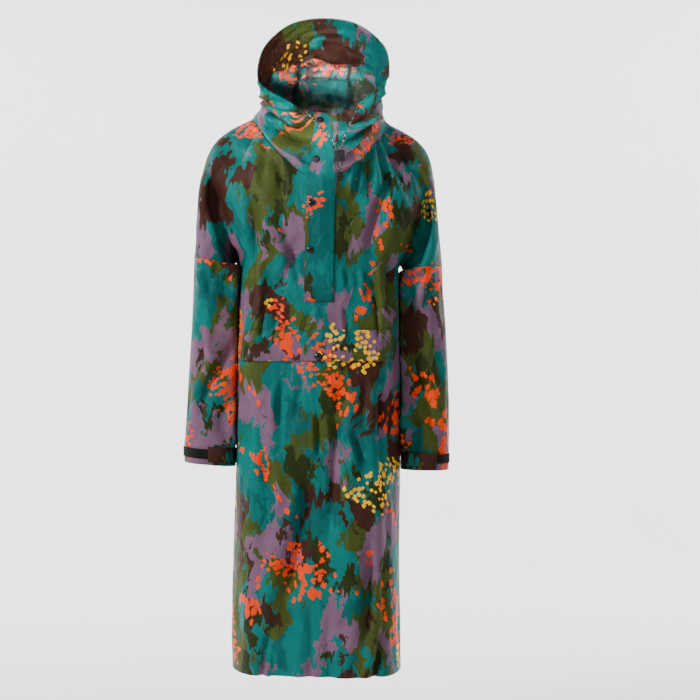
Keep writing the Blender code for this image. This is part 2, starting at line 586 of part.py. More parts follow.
# ---------------------------------------------------------------- sleeves
def sleeve_ring(section):
    # closed ring: front half from the outer line to the inner one, then the back half
    (outer_x, outer_z), (inner_x, inner_z) = section["outer"], section["inner"]
    crest = mix(outer_x, inner_x, section.get("crest", 0.5))
    xs = [mix(outer_x, crest, share) for share in LOBE_OUT] + [mix(crest, inner_x, share) for share in LOBE_IN]
    rises = [bulge(share) for share in LOBE_OUT] + [bulge(1 - share) for share in LOBE_IN]
    xs.append(inner_x)
    rises.append(0.0)

    def place(x, y):
        share = (x - outer_x) / (inner_x - outer_x)
        return Vector((x, section["y"] + y, mix(outer_z, inner_z, share)))

    ring = [place(x, -section["front"] * rise) for x, rise in zip(xs, rises)]
    ring += [place(x, section["back"] * rise) for x, rise in zip(xs[-2:0:-1], rises[-2:0:-1])]
    return ring


def cuff_sections(cuff, rows):
    result = []
    for rise in rows[::-1]:
        section = dict(cuff)
        section["outer"] = (cuff["outer"][0], cuff["outer"][1] + rise)
        section["inner"] = (cuff["inner"][0], cuff["inner"][1] + rise)
        result.append(section)
    return result


def sleeve_grid(hand, sections, cuff, cuff_rows):
    side = 0 if hand < 0 else 1
    line = YOKE_LINES[0]
    outer = line["left"] if hand < 0 else line["right"]
    inner_x = line["crease"][side] + hand * ARCH_HALF
    crest = (line["crest"][side] - outer[0]) / (inner_x - outer[0])
    top = dict(outer=outer, inner=(inner_x, SLEEVE_SEAM_INNER_Z[side]), front=FRONT_YOKE[0]["arm"],
               back=BACK_YOKE[0]["arm"], y=0.0, crest=crest)
    rings = [sleeve_ring(section) for section in [top, *sections, *cuff_sections(cuff, cuff_rows)]]
    counts = [1] * len(sections) + [0] * (len(cuff_rows) + 1)
    grid = between(rings, counts)
    normal = seam_plane(hand)
    for j in range(len(grid[0])):
        grid[0][j] -= normal * (SEAM / 2)
    return grid


def sleeve_normals(grid, hand, cuff):
    normals = grid_normals(grid, True, hand < 0)
    plane = seam_plane(hand)
    run = Vector((cuff["inner"][0] - cuff["outer"][0], 0.0, cuff["inner"][1] - cuff["outer"][1])).normalized()
    cuff_plane = Vector((-run.z, 0.0, run.x))
    for j in range(len(grid[0])):
        normals[0][j] = square_to(normals[0][j], [plane])
        normals[-1][j] = square_to(normals[-1][j], [cuff_plane])
    return normals


# ---------------------------------------------------------------- hood
def arc_shares(points):
    lengths = [0.0]
    for a, b in zip(points, points[1:]):
        lengths.append(lengths[-1] + (b - a).length)
    return [length / lengths[-1] for length in lengths]


def neckline(front_grid, front_normals, back_grid, back_normals):
    # shared edge of the panels and the hood, from the slit round the wearer's right, the back and the left
    half = SIDE_COLUMNS
    front_row = front_grid[-1]
    front_side = front_normals[-1]
    right = list(range(half - 1, -1, -1))
    left = list(range(2 * half - 1, half - 1, -1))
    points = [front_row[j].copy() for j in right]
    normals = [front_side[j].copy() for j in right]
    u_values = [4.0 * share for share in arc_shares(points)]
    back_row = back_grid[-1][1:-1]
    back_side = back_normals[-1][1:-1]
    back_points = [points[-1]] + back_row + [front_row[left[0]]]
    u_values += [4.0 + 6.0 * share for share in arc_shares(back_points)[1:-1]]
    points += [point.copy() for point in back_row]
    normals += [normal.copy() for normal in back_side]
    left_points = [front_row[j].copy() for j in left]
    u_values += [10.0 + 4.0 * share for share in arc_shares(left_points)]
    points += left_points
    normals += [front_side[j].copy() for j in left]
    return points, normals, u_values


def hood_grid(points, u_values):
    stations = [line["u"] for line in HOOD_LINES]
    rows = []
    for name in ("edge", "roll", "wall", "base"):
        values = [Vector(line[name]) for line in HOOD_LINES]
        rows.append([hermite(values, stations, u) for u in u_values])
    rows.append([point.copy() for point in points])
    grid = []
    for v in HOOD_ROWS:
        grid.append([hermite([row[j] for row in rows], HOOD_LINE_SHARES, v) for j in range(len(points))])
    return grid


def hood_slice(grid, normals, first, last, gap_first, gap_last):
    # part of the hood between two seams, each drawn back by half the seam's gap
    part = [[point.copy() for point in row[first:last + 1]] for row in grid]
    facing = [[normal.copy() for normal in row[first:last + 1]] for row in normals]
    for row in part:
        if gap_first:
            row[0] += (row[1] - row[0]).normalized() * (SEAM / 2)
        if gap_last:
            row[-1] += (row[-2] - row[-1]).normalized() * (SEAM / 2)
    return part, facing


# ---------------------------------------------------------------- trims
def make_snap(name, centre, normal, material, collection):
    # domed cap, its axis square to the cloth
    bpy.ops.mesh.primitive_cylinder_add(vertices=ROUND_SIDES, radius=SNAP_RADIUS, depth=SNAP_HEIGHT)
    snap = bpy.context.object
    snap.name = name
    snap.data.name = name
    snap.rotation_mode = "QUATERNION"
    snap.rotation_quaternion = Vector((0, 0, 1)).rotation_difference(normal)
    snap.location = centre + normal * (SNAP_HEIGHT / 2)
    bevel = snap.modifiers.new("dome", "BEVEL")
    bevel.width = SNAP_DOME
    bevel.segments = 2
    bevel.limit_method = "ANGLE"
    bevel.angle_limit = math.radians(60)
    snap.data.materials.append(material)
    move_to(snap, collection)
    return snap


def move_to(item, collection):
    for other in list(item.users_collection):
        other.objects.unlink(item)
    collection.objects.link(item)


def smooth_route(waypoints):
    # points on a smooth curve through the waypoints, closer together near both ends
    points = [Vector(point) for point in waypoints]
    stations = [0.0]
    for a, b in zip(points, points[1:]):
        stations.append(stations[-1] + (b - a).length)
    length = stations[-1]
    fine = int(CORD_END / CORD_END_STEP)
    coarse = int((length - 2 * CORD_END) / CORD_STEP)
    at = [CORD_END * k / fine for k in range(fine)]
    at += [mix(CORD_END, length - CORD_END, k / coarse) for k in range(coarse)]
    at += [length - CORD_END * (1.0 - k / fine) for k in range(fine + 1)]
    return [hermite(points, stations, place) for place in at]


def make_cord(name, waypoints, material, collection):
    curve = bpy.data.curves.new(name, "CURVE")
    curve.dimensions = "3D"
    curve.bevel_depth = CORD_RADIUS
    curve.bevel_resolution = 2
    curve.use_fill_caps = True
    route = smooth_route(waypoints)
    spline = curve.splines.new("POLY")
    spline.points.add(len(route) - 1)
    for point, place in zip(spline.points, route):
        point.co = (*place, 1.0)
    curve.materials.append(material)
    cord = bpy.data.objects.new(name, curve)
    collection.objects.link(cord)
    return cord


def make_block(name, centre, size, bevel_width, material, collection):
    bpy.ops.mesh.primitive_cube_add(size=1.0, location=centre)
    block = bpy.context.object
    block.name = name
    block.data.name = name
    block.scale = size
    bpy.context.view_layer.update()
    bpy.ops.object.transform_apply(location=False, rotation=False, scale=True)
    bevel = block.modifiers.new("edges", "BEVEL")
    bevel.width = bevel_width
    bevel.segments = 3
    block.data.materials.append(material)
    move_to(block, collection)
    return block


def make_hole(name, target, centre, radius, length, cutters):
    bpy.ops.mesh.primitive_cylinder_add(vertices=12, radius=radius, depth=length, location=centre)
    cutter = bpy.context.object
    cutter.name = name
    cutter.hide_render = True
    cutter.display_type = "WIRE"
    move_to(cutter, cutters)
    cut = target.modifiers.new(name, "BOOLEAN")
    cut.operation = "DIFFERENCE"
    cut.solver = "EXACT"
    cut.object = cutter


def make_eyelet(name, centre, normal, material, collection):
    # turned ring: profile in XZ, screwed round Z
    outer = EYELET_OUTER
    inner = EYELET_INNER
    height = EYELET_HEIGHT
    profile = ((outer, height * 0.35), (outer, 0.0), (inner, 0.0), (inner, height * 0.8),
               (mix(inner, outer, 0.35), height), (mix(inner, outer, 0.75), height * 0.85))
    mesh = bmesh.new()
    verts = [mesh.verts.new((x, 0.0, z)) for x, z in profile]
    for a, b in zip(verts, verts[1:] + verts[:1]):
        mesh.edges.new((a, b))
    data = bpy.data.meshes.new(name)
    mesh.to_mesh(data)
    mesh.free()
    data.materials.append(material)
    ring = bpy.data.objects.new(name, data)
    screw = ring.modifiers.new("turn", "SCREW")
    screw.axis = "Z"
    screw.steps = ROUND_SIDES
    screw.render_steps = ROUND_SIDES
    screw.use_merge_vertices = True
    screw.merge_threshold = 0.00002
    screw.use_normal_calculate = True
    screw.use_normal_flip = True
    ring.rotation_mode = "QUATERNION"
    ring.rotation_quaternion = Vector((0, 0, 1)).rotation_difference(normal)
    ring.location = centre
    collection.objects.link(ring)
    return ring


# ---------------------------------------------------------------- building
def build_body(collection, cloth):
    front = panel_grid(FRONT_LEVELS, FRONT_YOKE, True, FOLDS)
    back = panel_grid(BACK_LEVELS, BACK_YOKE, False, BACK_FOLDS)
    sleeve_seam_lift(front)
    sleeve_seam_lift(back)
    slit_foot = next(i for i, row in enumerate(front) if row[SIDE_COLUMNS - 1].z > PLACKET_FOOT_Z + 0.02)
    slit = frozenset((i, SIDE_COLUMNS - 1) for i in range(slit_foot, len(front)))
    front_normals = panel_normals(front, True, slit)
    back_normals = panel_normals(back, False)
    return front, front_normals, back, back_normals, slit


def close_neck_edge(front, front_normals, back, back_normals):
    # at the neckline both panels stop half a seam's gap short of the shared edge
    points, normals, u_values = neckline(front, front_normals, back, back_normals)
    count = len(points)
    moved = []
    for k, point in enumerate(points):
        run = points[min(k + 1, count - 1)] - points[max(k - 1, 0)]
        up = run.cross(normals[k]).normalized()
        if up.z < 0:
            up = -up
        moved.append(up)
    half = SIDE_COLUMNS
    for k in range(half):
        front[-1][half - 1 - k] -= moved[k] * (SEAM / 2)
        front[-1][2 * half - 1 - k] -= moved[count - half + k] * (SEAM / 2)
    for k in range(half, count - half):
        back[-1][k - half + 1] -= moved[k] * (SEAM / 2)
    back[-1][0] -= moved[half - 1] * (SEAM / 2)
    back[-1][-1] -= moved[count - half] * (SEAM / 2)
    raised = [point + up * (SEAM / 2) for point, up in zip(points, moved)]
    return raised, normals, u_values


def main():
    clear_scene()
    poncho = make_collection("rain_poncho")
    cutters = make_collection("cutters")
    teal = make_material("cloth_teal", TEAL, 0.45)
    olive = make_material("cloth_olive", OLIVE, 0.45)
    mauve = make_material("cloth_mauve", MAUVE, 0.45)
    brown = make_material("cloth_brown", BROWN, 0.45)
    tape = make_material("hook_tape", BLACK, 0.85)
    plastic = make_material("black_plastic", BLACK, 0.30)
    braid = make_material("cord_braid", BLACK, 0.70)

    front, front_normals, back, back_normals, slit = build_body(poncho, teal)
    neck, neck_normals, u_values = close_neck_edge(front, front_normals, back, back_normals)
    build_wall("front", front, front_normals, False, False, CLOTH, teal, poncho, open_cells=slit)
    build_wall("back", back, back_normals, False, True, CLOTH, olive, poncho)

    sleeves = (("right", -1, SLEEVE_RIGHT, CUFF_RIGHT, CUFF_ROWS_RIGHT),
               ("left", 1, SLEEVE_LEFT, CUFF_LEFT, CUFF_ROWS_LEFT))
    for label, hand, sections, cuff, cuff_rows in sleeves:
        grid = sleeve_grid(hand, sections, cuff, cuff_rows)
        normals = sleeve_normals(grid, hand, cuff)
        build_wall("sleeve_" + label, grid, normals, True, hand < 0, CLOTH, mauve, poncho)
        build_cuff(label, hand, grid, normals, cuff_rows, tape, brown, poncho)

    hood = hood_grid(neck, u_values)
    hood_normals = grid_normals(hood, False, False)
    for j, normal in enumerate(neck_normals):
        hood_normals[-1][j] = normal
    build_hood(hood, hood_normals, u_values, teal, olive, brown, poncho)
    strip, strip_facing = build_placket(front, front_normals, hood, hood_normals, teal, poncho)
    flap, flap_facing = build_flap(front, front_normals, mauve, poncho)
    build_trims(strip, strip_facing, flap, flap_facing, hood, u_values, (plastic, braid), poncho, cutters)


def build_cuff(label, hand, grid, normals, cuff_rows, tape, cloth, collection):
    # the strip runs round the outer half of the cuff, and the tab covers its front end
    count = len(grid[0])
    last = len(grid) - 1
    strip_rows = (last - 3, last - 2)
    tab_rows = (last - 4, last - 1)
    tab_columns = (4, 8) if hand < 0 else (3, 7)
    strip_columns = list(range(count - 4, count)) + list(range(0, tab_columns[0] + 2))
    strip = [[grid[i][j].copy() for j in strip_columns] for i in range(strip_rows[0], strip_rows[1] + 1)]
    facing = [[normals[i][j].copy() for j in strip_columns] for i in range(strip_rows[0], strip_rows[1] + 1)]
    lift = CLOTH / 2 + SEAM + STRIP_WALL / 2
    build_wall("cuff_strip_" + label, strip, facing, False, hand < 0, STRIP_WALL, tape, collection, lift)
    tab_range = list(range(tab_columns[0], tab_columns[1] + 1))
    tab = []
    facing = []
    high = SEAM + STRIP_WALL
    for i in range(tab_rows[0], tab_rows[1] + 1):
        row = []
        for j in tab_range:
            rise = high if j <= tab_columns[0] + 2 else 0.0
            row.append(grid[i][j] + normals[i][j] * rise)
        tab.append(row)
        facing.append([normals[i][j].copy() for j in tab_range])
    lift = CLOTH / 2 + SEAM + CLOTH / 2
    build_wall("cuff_tab_" + label, tab, facing, False, hand < 0, CLOTH, cloth, collection, lift)


def build_hood(hood, normals, u_values, teal, olive, brown, collection):
    first = min(range(len(u_values)), key=lambda k: abs(u_values[k] - GUSSET_FROM_U))
    last = min(range(len(u_values)), key=lambda k: abs(u_values[k] - GUSSET_TO_U))
    end = len(u_values) - 1
    pieces = (("hood_right", 0, first, False, True, teal), ("hood_center", first, last, True, True, brown),
              ("hood_left", last, end, True, False, olive))
    for name, start, stop, gap_first, gap_last, cloth in pieces:
        grid, facing = hood_slice(hood, normals, start, stop, gap_first, gap_last)
        for row, side in zip(grid, facing):
            if gap_first:
                side[0] = square_to(side[0], [(row[1] - row[0]).normalized()])
            if gap_last:
                side[-1] = square_to(side[-1], [(row[-2] - row[-1]).normalized()])
        build_wall(name, grid, facing, False, False, CLOTH, cloth, collection)
    # the facing follows the inside of the face edge and hangs free at its back edge
    start = min(range(len(u_values)), key=lambda k: abs(u_values[k] - FACING_FROM_U))
    stop = min(range(len(u_values)), key=lambda k: abs(u_values[k] - FACING_TO_U))
    columns = range(start, stop + 1)
    facing_grid = []
    for i in range(FACING_ROWS + 1):
        row = []
        for k in columns:
            crown = math.sin(math.pi * (u_values[k] - FACING_FROM_U) / (FACING_TO_U - FACING_FROM_U))
            drop = FACING_DROP * max(crown, 0.0) * (i / FACING_ROWS) ** FACING_CURL
            row.append(hood[i][k] - normals[i][k] * drop)
        facing_grid.append(row)
    facing_normals = grid_normals(facing_grid, False, False)
    facing_normals[0] = [normals[0][k] for k in columns]
    build_wall("hood_facing", facing_grid, facing_normals, False, False, CLOTH, teal, collection,
               -(CLOTH + SEAM))


def build_placket(front, front_normals, hood, hood_normals, cloth, collection):
    # strip over the slit: the front's three middle columns, then the collar's
    half = SIDE_COLUMNS
    foot = next(i for i, row in enumerate(front) if row[half - 1].z > PLACKET_FOOT_Z - 0.001)
    columns = (half - 2, half - 1, half, half + 1)
    grid = []
    facing = []
    for i in range(foot, len(front) - 1):
        grid.append([front[i][j].copy() for j in columns])
        facing.append([front_normals[i][j].copy() for j in columns])
    for i in range(len(hood) - 2, -1, -1):
        row = hood[i]
        side = hood_normals[i]
        grid.append([row[1].copy(), row[0].copy(), row[-1].copy(), row[-2].copy()])
        facing.append([side[1].copy(), side[0].copy(), side[-1].copy(), side[-2].copy()])
    lift = CLOTH / 2 + SEAM + CLOTH / 2
    build_wall("placket", grid, facing, False, False, CLOTH, cloth, collection, lift)
    return grid, facing


def build_flap(front, front_normals, cloth, collection):
    half = SIDE_COLUMNS
    skip = LOBE_COLUMNS + CREASE_COLUMNS + 3
    foot = min(range(len(front)), key=lambda i: abs(front[i][half].z - FLAP_FOOT_Z))
    top = min(range(len(front)), key=lambda i: abs(front[i][half].z - FLAP_TOP_Z))
    grid = []
    facing = []
    for i in range(foot, top + 1):
        grid.append([front[i][j].copy() for j in range(skip, 2 * half - skip)])
        facing.append([front_normals[i][j].copy() for j in range(skip, 2 * half - skip)])
    lift = CLOTH / 2 + SEAM + CLOTH / 2
    build_wall("pocket_flap", grid, facing, False, False, CLOTH, cloth, collection, lift)
    return grid, facing


def at_height(grid, facing, column, share, z):
    # point and normal of a grid between two of its columns, at a height
    def across(row):
        return row[column].lerp(row[column + 1], share)

    for i in range(len(grid) - 1):
        low = across(grid[i])
        high = across(grid[i + 1])
        if (low.z - z) * (high.z - z) <= 0:
            t = (z - low.z) / (high.z - low.z)
            return low.lerp(high, t), across(facing[i]).lerp(across(facing[i + 1]), t).normalized()
    return grid[-1][column], facing[-1][column]


def cell_centre(grid, u_values, u):
    # middle and normal of the cell of the hood's first row that holds u
    k = next(k for k in range(len(u_values) - 1) if u_values[k + 1] > u)
    corners = [grid[0][k], grid[0][k + 1], grid[1][k + 1], grid[1][k]]
    normal = (corners[2] - corners[0]).cross(corners[3] - corners[1]).normalized()
    return sum(corners, Vector()) / 4, normal if normal.y < 0 else -normal


def build_trims(strip, strip_facing, flap, flap_facing, hood, u_values, materials, collection, cutters):
    plastic, braid = materials
    on_cloth = CLOTH / 2 + SEAM + CLOTH + SEAM
    share = 1.0 - SNAP_OFF / PLACKET_HALF
    for snap in SNAPS:
        point, normal = at_height(strip, strip_facing, 0, share, snap["z"])
        make_snap(snap["name"], point + normal * (on_cloth + snap["off"]), normal, plastic, collection)
    middle = len(flap[0]) // 2 - 1
    point, normal = at_height(flap, flap_facing, middle, 0.5, FLAP_FOOT_Z + POCKET_SNAP_RISE)
    make_snap("snap_pocket", point + normal * on_cloth, normal, plastic, collection)

    lock = make_block("cord_lock", LOCK, LOCK_SIZE, LOCK_EDGE, plastic, collection)
    top = LOCK[2] + LOCK_SIZE[2] / 2
    foot = LOCK[2] - LOCK_SIZE[2] / 2
    for label, off in (("right", -LOCK_HOLE_OFF), ("left", LOCK_HOLE_OFF)):
        centre = (LOCK[0] + off, LOCK[1], LOCK[2])
        make_hole("lock_hole_" + label, lock, centre, LOCK_HOLE_RADIUS, 3 * LOCK_SIZE[2], cutters)
    bpy.ops.mesh.primitive_cylinder_add(vertices=12, radius=BUTTON_RADIUS, depth=BUTTON_HEIGHT,
                                        location=(LOCK[0], LOCK[1], top + SEAM + BUTTON_HEIGHT / 2))
    button = bpy.context.object
    button.name = "cord_lock_button"
    button.data.materials.append(plastic)
    move_to(button, collection)
    make_block("cord_stopper", STOPPER, STOPPER_SIZE, STOPPER_EDGE, plastic, collection)
    end_z = STOPPER[2] + STOPPER_SIZE[2] / 2 + SEAM
    cords = (("right", -1, EYELET_RIGHT_U, CORD_RIGHT_WAY), ("left", 1, EYELET_LEFT_U, CORD_LEFT_WAY))
    for label, hand, u, way in cords:
        place, normal = cell_centre(hood, u_values, u)
        seat = place + normal * (CLOTH / 2 + SEAM)
        make_eyelet("eyelet_" + label, seat, normal, plastic, collection)
        x = LOCK[0] + hand * LOCK_HOLE_OFF
        route = [seat + normal * SEAM, seat + normal * EXIT_RISE, *way]
        route += [(x, LOCK[1], z) for z in (top + LOCK_LEAD, top, foot, foot - LOCK_LEAD)]
        x = STOPPER[0] + hand * TAIL_OFF
        route += [(x, STOPPER[1], end_z + LOCK_LEAD), (x, STOPPER[1], end_z)]
        make_cord("cord_" + label, route, braid, collection)


main()
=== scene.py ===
import math

import bmesh
import bpy
import numpy as np
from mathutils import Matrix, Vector


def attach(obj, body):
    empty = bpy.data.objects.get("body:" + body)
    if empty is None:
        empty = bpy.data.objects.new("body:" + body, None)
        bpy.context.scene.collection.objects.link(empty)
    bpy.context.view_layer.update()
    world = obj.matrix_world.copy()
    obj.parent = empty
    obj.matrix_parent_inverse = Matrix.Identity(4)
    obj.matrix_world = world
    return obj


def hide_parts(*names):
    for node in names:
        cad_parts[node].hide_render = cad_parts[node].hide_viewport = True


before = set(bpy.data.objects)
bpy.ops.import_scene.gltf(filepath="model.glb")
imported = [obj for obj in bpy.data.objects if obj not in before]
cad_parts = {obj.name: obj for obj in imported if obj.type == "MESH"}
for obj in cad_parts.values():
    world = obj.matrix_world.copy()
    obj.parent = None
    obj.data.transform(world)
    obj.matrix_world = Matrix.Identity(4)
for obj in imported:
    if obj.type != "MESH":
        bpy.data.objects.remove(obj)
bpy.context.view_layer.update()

# "left" and "right" in the tables of sections are -X and +X; in the names of pieces they are the wearer's.
cloth = {
    "step": 0.0050,         # size of the fine mesh
    "thick": 0.0008,
    "columns": {"lobeOut": 16, "lobeIn": 16, "arch": 4, "side": 32, "reach": 18, "strip": 8},
    "bunch": {"lobe": 1.7, "side": 1.6},
    "besideSlit": 0.98,     # share of the placket's half where the last column before the slit lies
    "swell": 2.2,           # roundness of the sides and arms, 2 being an ellipse
    "ribShare": 0.66,       # where the ribs lie, from the slit to the side
}


def mix(a, b, share):
    return a + (b - a) * share


def ease(share):
    share = np.clip(share, 0.0, 1.0)
    return 0.5 - 0.5 * np.cos(np.pi * share)


def bulge(share):
    share = np.clip(share, 0.0, 1.0)
    return (1.0 - (1.0 - share) ** cloth["swell"]) ** (1.0 / cloth["swell"])


def unit(vectors):
    return vectors / np.maximum(np.linalg.norm(vectors, axis=-1, keepdims=True), 1e-12)


def shares(count, bunch=1.0, atEnd=False):
    t = np.linspace(0.0, 1.0, count + 1)[:-1]
    return 1.0 - (1.0 - t) ** bunch if atEnd else t ** bunch


def lengthsAlong(points):
    return np.concatenate([[0.0], np.cumsum(np.linalg.norm(np.diff(points, axis=0), axis=1))])


def resample(values, stations, places):
    # smooth curve through the values at the given stations
    values = np.asarray(values, float)
    stations = np.asarray(stations, float)
    places = np.asarray(places, float)
    last = len(stations) - 1
    k = np.clip(np.searchsorted(stations, places, side="right") - 1, 0, last - 1)
    order = np.arange(last + 1)
    low, high = np.maximum(order - 1, 0), np.minimum(order + 1, last)
    shape = (-1,) + (1,) * (values.ndim - 1)
    slope = (values[high] - values[low]) / (stations[high] - stations[low]).reshape(shape)
    span = (stations[k + 1] - stations[k]).reshape(shape)
    t = (places - stations[k]).reshape(shape) / span
    return (values[k] * (2 * t**3 - 3 * t**2 + 1) + slope[k] * span * (t**3 - 2 * t**2 + t)
            + values[k + 1] * (3 * t**2 - 2 * t**3) + slope[k + 1] * span * (t**3 - t**2))


def evenRun(points, count):
    # points spaced evenly along a smooth curve through the given ones
    points = np.array(points, float)
    stations = lengthsAlong(points)
    return resample(points, stations, np.linspace(0, stations[-1], count))


def fineRows(rows, step):
    # rows of points on smooth curves through the given ones, and the index of each given row
    rows = np.asarray(rows, float)
    gaps = np.linalg.norm(rows[1:] - rows[:-1], axis=2).mean(axis=1)
    stations = np.concatenate([[0.0], np.cumsum(gaps)])
    places, index = [], []
    for k, gap in enumerate(gaps):
        index.append(len(places))
        count = max(int(round(gap / step)), 1)
        places += list(stations[k] + gap * np.arange(count) / count)
    index.append(len(places))
    places.append(stations[-1])
    return resample(rows, stations, places), index


body = {
    "hem": -1.145,
    "armpit": -0.300,
    "slitFoot": -0.374,
    "placketHalf": 0.030,
    "archRise": 0.009,
    "archHalf": 0.005,
    "sleeveSeamInner": (-0.290, -0.302),
    # levels of the skirt: z, half widths, depth at the ribs and in the middle, x of the slit
    "levelNames": ("z", "left", "right", "ribLeft", "ribRight", "middle", "slit"),
    "front": [
        (-1.145, 0.1808, 0.1786, 0.126, 0.148, 0.148, 0.0020),
        (-1.040, 0.1795, 0.1780, 0.128, 0.148, 0.150, 0.0020),
        (-0.900, 0.1763, 0.1763, 0.130, 0.146, 0.150, 0.0020),
        (-0.760, 0.1735, 0.1763, 0.131, 0.143, 0.148, 0.0020),
        (-0.620, 0.1722, 0.1763, 0.131, 0.140, 0.146, 0.0022),
        (-0.496, 0.1716, 0.1755, 0.130, 0.136, 0.143, 0.0026),
        (-0.432, 0.1710, 0.1750, 0.128, 0.132, 0.140, 0.0030),
        (-0.374, 0.1702, 0.1745, 0.125, 0.128, 0.137, 0.0035),
    ],
    "back": [
        (-1.145, 0.1808, 0.1786, 0.132, 0.134, 0.142, 0.0020),
        (-1.040, 0.1795, 0.1780, 0.131, 0.132, 0.142, 0.0020),
        (-0.900, 0.1763, 0.1763, 0.128, 0.130, 0.140, 0.0020),
        (-0.760, 0.1735, 0.1763, 0.125, 0.127, 0.137, 0.0020),
        (-0.620, 0.1722, 0.1763, 0.120, 0.122, 0.132, 0.0022),
        (-0.496, 0.1716, 0.1755, 0.114, 0.116, 0.126, 0.0026),
        (-0.432, 0.1710, 0.1750, 0.112, 0.114, 0.124, 0.0030),
        (-0.374, 0.1702, 0.1745, 0.110, 0.112, 0.122, 0.0035),
    ],
    # sections over the shoulder: outer end as x and z on both sides, then crest and crease as x
    "lineNames": ("left", "right", "crest", "crease"),
    "lines": [
        ((-0.2628, -0.277), (0.2688, -0.294), (-0.221, 0.229), (-0.1735, 0.1790)),
        ((-0.2615, -0.264), (0.2678, -0.280), (-0.224, 0.232), (-0.1795, 0.1865)),
        ((-0.2592, -0.244), (0.2655, -0.256), (-0.230, 0.238), (-0.1930, 0.2030)),
        ((-0.2560, -0.205), (0.2612, -0.212), (-0.235, 0.244), (-0.2070, 0.2200)),
        ((-0.2525, -0.160), (0.2560, -0.162), (-0.237, 0.2455), (-0.2160, 0.2320)),
        ((-0.2475, -0.110), (0.2498, -0.110), (-0.2350, 0.2400), (-0.2160, 0.2260)),
        ((-0.2360, -0.060), (0.2395, -0.058), (-0.2200, 0.2250), (-0.1920, 0.1990)),
        ((-0.2170, -0.026), (0.2172, -0.026), (-0.1930, 0.1950), (-0.1560, 0.1610)),
        ((-0.1850, 0.0000), (0.1850, -0.004), (-0.1560, 0.1600), (-0.1180, 0.1280)),
        ((-0.1400, 0.0220), (0.1570, 0.010), (-0.1120, 0.1290), (-0.0800, 0.0950)),
    ],
    # depths of the same sections, height of the middle, tightness beside the crease, x of the slit
    "yokeNames": ("arm", "crease", "rib", "middle", "z", "tight", "slit"),
    "frontYoke": [
        (0.068, 0.000, 0.121, 0.134, -0.300, 1.0, 0.0048),
        (0.068, 0.017, 0.122, 0.134, -0.284, 0.8, 0.0051),
        (0.067, 0.034, 0.122, 0.134, -0.262, 0.5, 0.0056),
        (0.062, 0.045, 0.120, 0.133, -0.232, 0.2, 0.0063),
        (0.055, 0.048, 0.116, 0.132, -0.203, 0.0, 0.0070),
        (0.048, 0.050, 0.110, 0.131, -0.178, 0.0, 0.0078),
        (0.041, 0.055, 0.105, 0.129, -0.156, 0.0, 0.0086),
        (0.040, 0.064, 0.104, 0.128, -0.140, 0.0, 0.0094),
        (0.044, 0.074, 0.105, 0.127, -0.127, 0.0, 0.0102),
        (0.050, 0.086, 0.108, 0.126, -0.117, 0.0, 0.0108),
    ],
    "backYoke": [
        (0.056, 0.000, 0.108, 0.120, -0.300, 1.0, 0.0048),
        (0.056, 0.016, 0.109, 0.121, -0.275, 0.8, 0.0051),
        (0.055, 0.031, 0.110, 0.122, -0.243, 0.5, 0.0056),
        (0.053, 0.041, 0.111, 0.123, -0.205, 0.2, 0.0063),
        (0.049, 0.044, 0.110, 0.122, -0.160, 0.0, 0.0070),
        (0.044, 0.046, 0.106, 0.119, -0.114, 0.0, 0.0078),
        (0.039, 0.051, 0.099, 0.113, -0.072, 0.0, 0.0086),
        (0.038, 0.058, 0.092, 0.104, -0.037, 0.0, 0.0094),
        (0.042, 0.064, 0.085, 0.094, -0.008, 0.0, 0.0102),
        (0.044, 0.064, 0.076, 0.082, 0.014, 0.0, 0.0108),
    ],
}


def named(names, rows):
    return [dict(zip(names, row)) for row in rows]


columns = {
    "lobeOut": shares(cloth["columns"]["lobeOut"], cloth["bunch"]["lobe"]),
    "lobeIn": shares(cloth["columns"]["lobeIn"], cloth["bunch"]["lobe"], atEnd=True),
    "arch": shares(cloth["columns"]["arch"]),
    "side": shares(cloth["columns"]["side"], cloth["bunch"]["side"]),
    "reach": shares(cloth["columns"]["reach"]),
    "strip": np.append(shares(cloth["columns"]["strip"]), cloth["besideSlit"]),
}
lobeCount = len(columns["lobeOut"]) + len(columns["lobeIn"])
creaseAt = lobeCount + len(columns["arch"])
stripAt = creaseAt + len(columns["side"]) + len(columns["reach"])
halfCount = stripAt + len(columns["strip"]) + 1


def innerHalf(ribX, rib, level, hand):
    # x and depth from the rib line to the slit; the placket's edge is one of the columns
    slit = level["slit"]
    stripX = slit + hand * body["placketHalf"]
    x = np.concatenate([mix(ribX, stripX, columns["reach"]), mix(stripX, slit, columns["strip"]), [slit]])
    return x, mix(rib, level["middle"], ease(np.abs(x - ribX) / abs(slit - ribX)))


